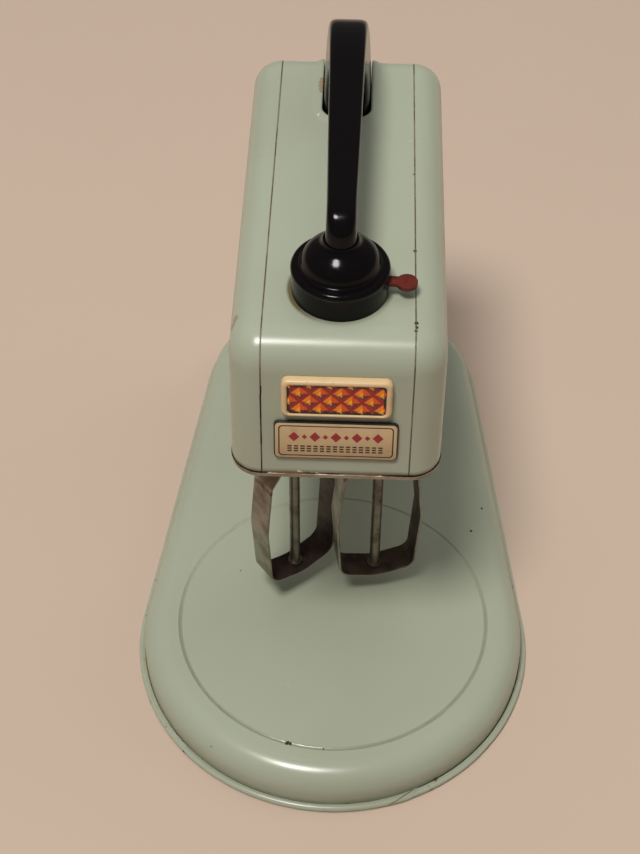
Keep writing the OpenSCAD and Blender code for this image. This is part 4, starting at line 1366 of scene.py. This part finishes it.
@dataclass
class FrontPlates:
    """Raised frame, faceted field and printed plate on the front of the head."""

    finishes: Finishes
    lattice: Lattice = Lattice()
    frame_z: float = 132.2
    plate_z: float = 116.3
    # Half width, half height and corner radius of the frame, and what its rail takes off them
    frame_outer: Point = (15.1, 6.2, 2.0)
    frame_rail: Point = (1.7, 1.2, 0.9)
    frame_drop: float = -0.4
    frame_gap: float = 0.1
    # Place across the rail and distance out of the points of its section
    rail: tuple[Flat, ...] = (
        (0.0, 0.0), (0.0, 1.1), (0.03, 1.6), (0.12, 2.02), (0.3, 2.3), (0.55, 2.4), (0.78, 2.36),
        (0.93, 2.16), (1.0, 1.75), (1.0, 1.22))
    backing: tuple[Layer, ...] = (
        (17.2, 6.65, 1.5, 0.0, 0.1), (17.2, 6.65, 1.5, 0.0, 0.75), (17.12, 6.57, 1.45, 0.0, 0.92),
        (16.9, 6.35, 1.3, 0.0, 1.0))
    face: tuple[Layer, ...] = (
        (16.8, 6.25, 1.25, 0.0, 0.8), (16.8, 6.25, 1.25, 0.0, 1.04), (16.72, 6.17, 1.2, 0.0, 1.1))
    # Outer and inner half width, half height and corner radius of the printed lines, and their foot and top
    outline: tuple[Point, Point] = ((13.42, 5.02, 1.3), (12.84, 4.36, 0.9))
    outline_out: Flat = (1.3, 1.98)
    line: tuple[Point, Point] = ((15.92, 5.5, 1.2), (15.56, 5.14, 0.95))
    line_out: Flat = (1.05, 1.13)
    print_out: float = 1.08
    print_relief: float = 0.06

    def build(self) -> None:
        """Builds every plate."""
        kit = self.finishes
        mesh_piece("front_frame", self.frame_mesh(), kit.cream, "head", ["trim_frame"])
        mesh_piece("amber_field", self.field_mesh(), kit.amber, "head", ["trim_panel"])
        outline = self.band_mesh(self.lattice.middle_z, *self.outline, *self.outline_out)
        mesh_piece("field_outline", outline, kit.ink, "head")
        backing = skin(front_rings(self.plate_z, self.backing))
        mesh_piece("plate_backing", backing, kit.ink, "head", ["name_plate"])
        face = skin(front_rings(self.plate_z, self.face))
        mesh_piece("plate_face", face, kit.plate_cream, "head")
        line = self.band_mesh(self.plate_z, *self.line, *self.line_out)
        mesh_piece("plate_line", line, kit.ink, "head")
        self.print_marks()

    def frame_mesh(self) -> Mesh:
        """Frame with soft rails round a recess."""
        layers = [(*(whole - rail * part for whole, rail in zip(self.frame_outer, self.frame_rail)),
                   self.frame_drop * part, out + self.frame_gap) for part, out in self.rail]
        return skin(front_rings(self.frame_z, layers))

    def band_mesh(self, middle_z: float, outer: Point, inner: Point, low: float, high: float) -> Mesh:
        """Thin printed line round a rectangle.

        Args:
            middle_z: Height of its middle on the front.
            outer: Half width, half height and corner radius outside.
            inner: The same inside.
            low: Distance of its foot off the front.
            high: Distance of its top.

        Returns:
            Its mesh.
        """
        ease = (high - low) * 0.25
        lip = 0.06
        layers = [(*outer, 0.0, low), (*outer, 0.0, high - ease),
                  (outer[0] - lip, outer[1] - lip, outer[2], 0.0, high),
                  (inner[0] + lip, inner[1] + lip, inner[2], 0.0, high),
                  (*inner, 0.0, high - ease), (*inner, 0.0, low)]
        return skin(front_rings(middle_z, layers), closed_run=True)

    def field_mesh(self) -> Mesh:
        """Faceted field: flat bands between small pyramids, cut to the frame's opening.

        Returns:
            Its mesh.
        """
        grid = self.lattice
        work = bmesh.new()
        ways = ((1, 0), (0, 1), (-1, 0), (0, -1))
        for u, v in grid.centres():
            outer, inner = ([work.verts.new((u + reach * dx, v + reach * dy, z)) for dx, dy in ways]
                            for reach, z in ((grid.pitch, grid.low),
                                             (grid.pitch * (1 - grid.band), grid.low + grid.band_rise)))
            peak = work.verts.new((u, v + grid.peak_up, grid.low + grid.rise))
            for k in range(4):
                n = (k + 1) % 4
                work.faces.new((outer[k], outer[n], inner[n], inner[k]))
                work.faces.new((inner[k], inner[n], peak))
        bmesh.ops.remove_doubles(work, verts=work.verts, dist=1e-4)
        for dx, dy in ((1, 0), (-1, 0), (0, 1), (0, -1)):
            everything = work.verts[:] + work.edges[:] + work.faces[:]
            bmesh.ops.bisect_plane(work, geom=everything, plane_co=(grid.half_w * dx, grid.half_h * dy, 0),
                                   plane_no=(dx, dy, 0), clear_outer=True)
        rim = [edge for edge in work.edges if edge.is_boundary]
        walls = bmesh.ops.extrude_edge_only(work, edges=rim)["geom"]
        for vert in (item for item in walls if isinstance(item, bmesh.types.BMVert)):
            vert.co.z = 0.0
        bmesh.ops.holes_fill(work, edges=[edge for edge in work.edges if edge.is_boundary], sides=0)
        bmesh.ops.recalc_face_normals(work, faces=work.faces)
        for vert in work.verts:
            vert.co = place(*on_front(grid.middle_z, vert.co.x, vert.co.y, vert.co.z + grid.out))
        return finished(work)

    def print_marks(self) -> None:
        """Prints the rows of dashes and the row of lozenges on the plate."""
        kit = self.finishes
        seed = bpy.data.meshes.new("print_seed")
        on_plate = front_matrix(self.plate_z, self.print_out)
        relief = self.print_relief * MM
        dashes = MarkGrowth(MarkShape.DASH).grow(
            seed, Run=25.2 * MM, Rise=1.76 * MM, Columns=15, Rows=3, Width=1.2 * MM, Height=0.46 * MM,
            Corner=0.1 * MM, Relief=relief, Jitter=0.12, Material=kit.ink)
        dashes.transform(on_plate @ Matrix.Translation((-0.2 * MM, -2.8 * MM, 0)))
        mesh_piece("plate_dashes", dashes, kit.ink, "head")
        lozenges = MarkGrowth(MarkShape.LOZENGE).grow(
            seed, Run=23.2 * MM, Rise=0.0, Columns=9, Rows=1, Width=3.0 * MM, Height=3.5 * MM, Relief=relief,
            Alternate=0.5, Jitter=0.03, Material=kit.ruby)
        lozenges.transform(on_plate @ Matrix.Translation((0, 1.5 * MM, 0)))
        mesh_piece("plate_lozenges", lozenges, kit.ruby, "head")


@dataclass
class SwitchAndHandle:
    """Switch housing, lever and carry handle."""

    finishes: Finishes
    # Place along the head, height, heading in degrees, half width, half depth and squareness of the handle
    stations: tuple[tuple[float, ...], ...] = (
        (10.3, 165.0, 90, 4.6, 4.6, 2.0), (10.3, 166.8, 90, 4.3, 4.4, 2.1), (11.0, 169.3, 68, 4.1, 4.3, 2.8),
        (14.0, 171.3, 24, 4.05, 4.1, 4.4), (22.0, 171.7, 3, 4.15, 3.9, 6.0), (45.0, 172.1, 2, 4.6, 4.0, 7.0),
        (68.0, 172.48, -1, 5.0, 4.3, 7.5), (84.0, 171.3, -13, 5.4, 5.2, 7.5),
        (95.0, 167.0, -38, 5.9, 8.0, 7.0), (100.3, 160.2, -62, 6.5, 11.4, 6.0),
        (102.6, 152.6, -80, 7.0, 15.2, 5.0), (103.2, 146.0, -90, 7.35, 17.2, 4.4),
        (103.2, 135.2, -90, 7.35, 17.2, 4.4))
    # Radius and height of the housing's dome, above the housing's foot
    dome: tuple[Flat, ...] = (
        (11.1, 9.2), (10.95, 9.75), (10.72, 10.1), (10.58, 10.6), (10.42, 11.2), (10.12, 12.0), (9.65, 12.8),
        (9.0, 13.6), (8.25, 14.3), (7.4, 14.95), (6.6, 15.45), (5.95, 15.92), (5.5, 16.4), (5.15, 17.0),
        (4.9, 17.8), (4.0, 17.8), (4.0, 9.2))
    around: int = 64
    along: int = 150

    def build(self) -> None:
        """Dresses the housing and the lever and builds the handle and the dome below it."""
        black = self.finishes.black
        turns = [math.tau * k / self.around for k in range(self.around)]
        dome = [[(r * math.cos(turn), BELL_Y + r * math.sin(turn), BELL_Z + up) for turn in turns]
                for r, up in self.dome]
        mesh_piece("switch_dome", skin(dome, closed_run=True), black, "head")
        dress(black, "switch_housing")
        dress(self.finishes.red, "switch_lever")
        rings = [self.ring((len(self.stations) - 1) * k / self.along) for k in range(self.along + 1)]
        mesh_piece("carry_handle", skin(rings), black, "head", ["handle"])

    def between(self, where: float) -> list[float]:
        """Values on a smooth curve through the stations.

        Args:
            where: Place along the handle, counted in stations.

        Returns:
            Values in the order that the stations have.
        """
        last = len(self.stations) - 1
        start = min(int(where), last - 1)
        part = where - start
        rows = [self.stations[min(max(start + k, 0), last)] for k in (-1, 0, 1, 2)]
        return [0.5 * (2 * b + (c - a) * part + (2 * a - 5 * b + 4 * c - d) * part ** 2
                       + (3 * b - a - 3 * c + d) * part ** 3) for a, b, c, d in zip(*rows)]

    def ring(self, where: float) -> list[Point]:
        """Section of the handle.

        Args:
            where: Place along the handle, counted in stations.

        Returns:
            Its points in datum millimetres.
        """
        y, z, heading, half_w, half_d, square = self.between(where)
        lean_s, lean_c = math.sin(math.radians(heading)), math.cos(math.radians(heading))
        points = []
        for k in range(self.around):
            turn = math.tau * (k + 0.5) / self.around
            cos, sin = math.cos(turn), math.sin(turn)
            u = half_w * math.copysign(abs(cos) ** (2 / square), cos)
            v = half_d * math.copysign(abs(sin) ** (2 / square), sin)
            points.append((u, y - v * lean_s, z + v * lean_c))
        return points


@dataclass
class Beaters:
    """Two beater loops on their rods."""

    finishes: Finishes
    loop_rings: tuple[Point, ...] = (
        (0.0, 36.0, 12.0), (7.6, 30.6, 5.0), (-7.6, 30.6, 5.0), (0.0, 52.0, 13.8),
        (9.4, 72.0, 2.5), (-9.4, 72.0, 2.5), (0.0, 82.0, 4.2))
    loop_z: float = 52.0
    rod_x: float = 13.0
    rod_y: float = 11.0
    left_turn: float = 38.0
    right_turn: float = 12.0
    strip_w: float = 9.0
    strip_t: float = 0.8
    strip_corner: float = 0.3

    def build(self) -> None:
        """Dresses the rods and bends the strips."""
        dress(self.finishes.rod, "left_beater_rod", "right_beater_rod")
        strips = StripGrowth()
        for side, x, turn in (("left", -self.rod_x, self.left_turn), ("right", self.rod_x, self.right_turn)):
            self.bend(strips, side, x, math.radians(turn))

    def bend(self, strips: StripGrowth, side: str, x: float, turn: float) -> None:
        """Bends one strip round its loop.

        Args:
            strips: Tree that lays a strip along a path.
            side: Which beater.
            x: Its rod's place across.
            turn: Angle of its loop at rest.
        """
        tin = self.finishes.beater_tin
        line = [(x + u * math.cos(turn), self.rod_y + u * math.sin(turn), z)
                for u, z in hull_path(self.loop_rings, grow=-self.strip_t / 2, steps=72)]
        mesh = strips.grow(
            path_mesh(line, True), Width=self.strip_w * MM, Thickness=self.strip_t * MM,
            Corner=self.strip_corner * MM, Across=(-math.sin(turn), math.cos(turn), 0.0),
            Middle=place(x, self.rod_y, self.loop_z), Material=tin)
        mesh_piece(f"{side}_beater_strip", mesh, tin, f"{side}_beater",
                   [f"{side}_beater_loop"])


@dataclass(frozen=True)
class Lamp:
    """Soft round lamp, in metres and watts, which glossy surfaces show if it is mirrored."""

    name: str
    at: Point
    size: float
    power: float
    tint: Colour
    mirrored: bool = False

    def hang(self, aim: Point) -> None:
        """Adds the lamp to the scene.

        Args:
            aim: Point that it faces.
        """
        data = bpy.data.lights.new(self.name, "AREA")
        data.shape = "DISK"
        data.size = self.size
        data.energy = self.power
        data.color = self.tint
        obj = bpy.data.objects.new(self.name, data)
        obj.location = self.at
        obj.visible_glossy = self.mirrored
        obj.rotation_euler = (Vector(aim) - Vector(self.at)).to_track_quat("-Z", "Y").to_euler()
        bpy.context.scene.collection.objects.link(obj)


@dataclass
class Studio:
    """Floor, lights and camera."""

    floor: Colour = srgb(198, 178, 161)
    floor_shade: Colour = srgb(191, 171, 154)
    floor_half: float = 3.0
    room: Colour = (1.0, 0.98, 0.95)
    room_strength: float = 0.105
    aim: Point = (0.0, 0.0, 0.08)
    lamps: tuple[Lamp, ...] = (
        Lamp("key", (-0.38, -0.72, 2.1), 0.54, 35.0, (1.0, 0.97, 0.93), True),
        Lamp("ceiling", (0.2, 0.9, 2.85), 3.0, 23.0, (1.0, 0.975, 0.945)),
        Lamp("left_fill", (-1.0, -0.15, 0.4), 0.6, 0.5, (1.0, 0.97, 0.93)),
        Lamp("right_fill", (1.0, 0.35, 0.9), 0.6, 1.3, (1.0, 0.975, 0.945)),
        Lamp("rear_left", (-0.85, 0.85, 0.3), 0.7, 1.1, (1.0, 0.98, 0.95)),
        Lamp("rear_right", (0.9, 0.8, 0.3), 0.7, 1.1, (1.0, 0.98, 0.95)))
    camera_at: Point = place(3.795, -320.74, 456.293)
    yaw: float = -0.027057
    pitch: float = 0.833859
    roll: float = 0.008317
    focal_px: float = 1650.0
    image_h: int = 854
    sensor_h: float = 24.0

    def build(self) -> None:
        """Sets up the whole studio."""
        bpy.context.scene.view_settings.view_transform = "Standard"
        self.make_floor()
        self.make_world()
        for lamp in self.lamps:
            lamp.hang(self.aim)
        self.make_camera()

    def make_floor(self) -> None:
        """Lays a plain pale floor."""
        mesh = bpy.data.meshes.new("floor")
        half = self.floor_half
        mesh.from_pydata([(-half, -half, 0), (half, -half, 0), (half, half, 0), (-half, half, 0)],
                         [], [(0, 1, 2, 3)])
        shade = Shade("pale_floor")
        soft = shade.noise(0.01, 3.0)
        mesh.materials.append(shade.surface(
            Base_Color=shade.mix(soft.step(0.3, 0.7) * 0.12, self.floor, self.floor_shade),
            Roughness=0.85, Specular_IOR_Level=0.15))
        floor = bpy.data.objects.new("floor", mesh)
        bpy.context.scene.collection.objects.link(floor)

    def make_world(self) -> None:
        """Fills the room with soft light."""
        world = bpy.data.worlds.new("room")
        bpy.context.scene.world = world
        world.use_nodes = True
        back = world.node_tree.nodes["Background"]
        back.inputs[0].default_value = (*self.room, 1.0)
        back.inputs[1].default_value = self.room_strength

    def make_camera(self) -> None:
        """Puts the camera at the photograph's angle."""
        ahead = Vector((math.sin(self.yaw) * math.cos(self.pitch),
                        math.cos(self.yaw) * math.cos(self.pitch), -math.sin(self.pitch)))
        level = Vector((math.cos(self.yaw), -math.sin(self.yaw), 0.0))
        upright = level.cross(ahead)
        right = level * math.cos(self.roll) + upright * math.sin(self.roll)
        up = upright * math.cos(self.roll) - level * math.sin(self.roll)
        data = bpy.data.cameras.new("camera")
        data.sensor_fit = "VERTICAL"
        data.sensor_height = self.sensor_h
        data.lens = self.focal_px / self.image_h * self.sensor_h
        camera = bpy.data.objects.new("camera", data)
        turn = Matrix((right, up, -ahead)).transposed().to_4x4()
        camera.matrix_world = Matrix.Translation(self.camera_at) @ turn
        bpy.context.scene.collection.objects.link(camera)
        bpy.context.scene.camera = camera


def main() -> None:
    """Builds the toy's looks and its studio."""
    logging.basicConfig(level=logging.INFO, format="%(name)s: %(message)s")
    finishes = Finishes()
    tubes = TubeGrowth()
    Stand(finishes, tubes).build()
    Head(finishes, tubes).build()
    for part in (FrontPlates, SwitchAndHandle, Beaters):
        part(finishes).build()
    Studio().build()


if __name__ == "__main__":
    main()
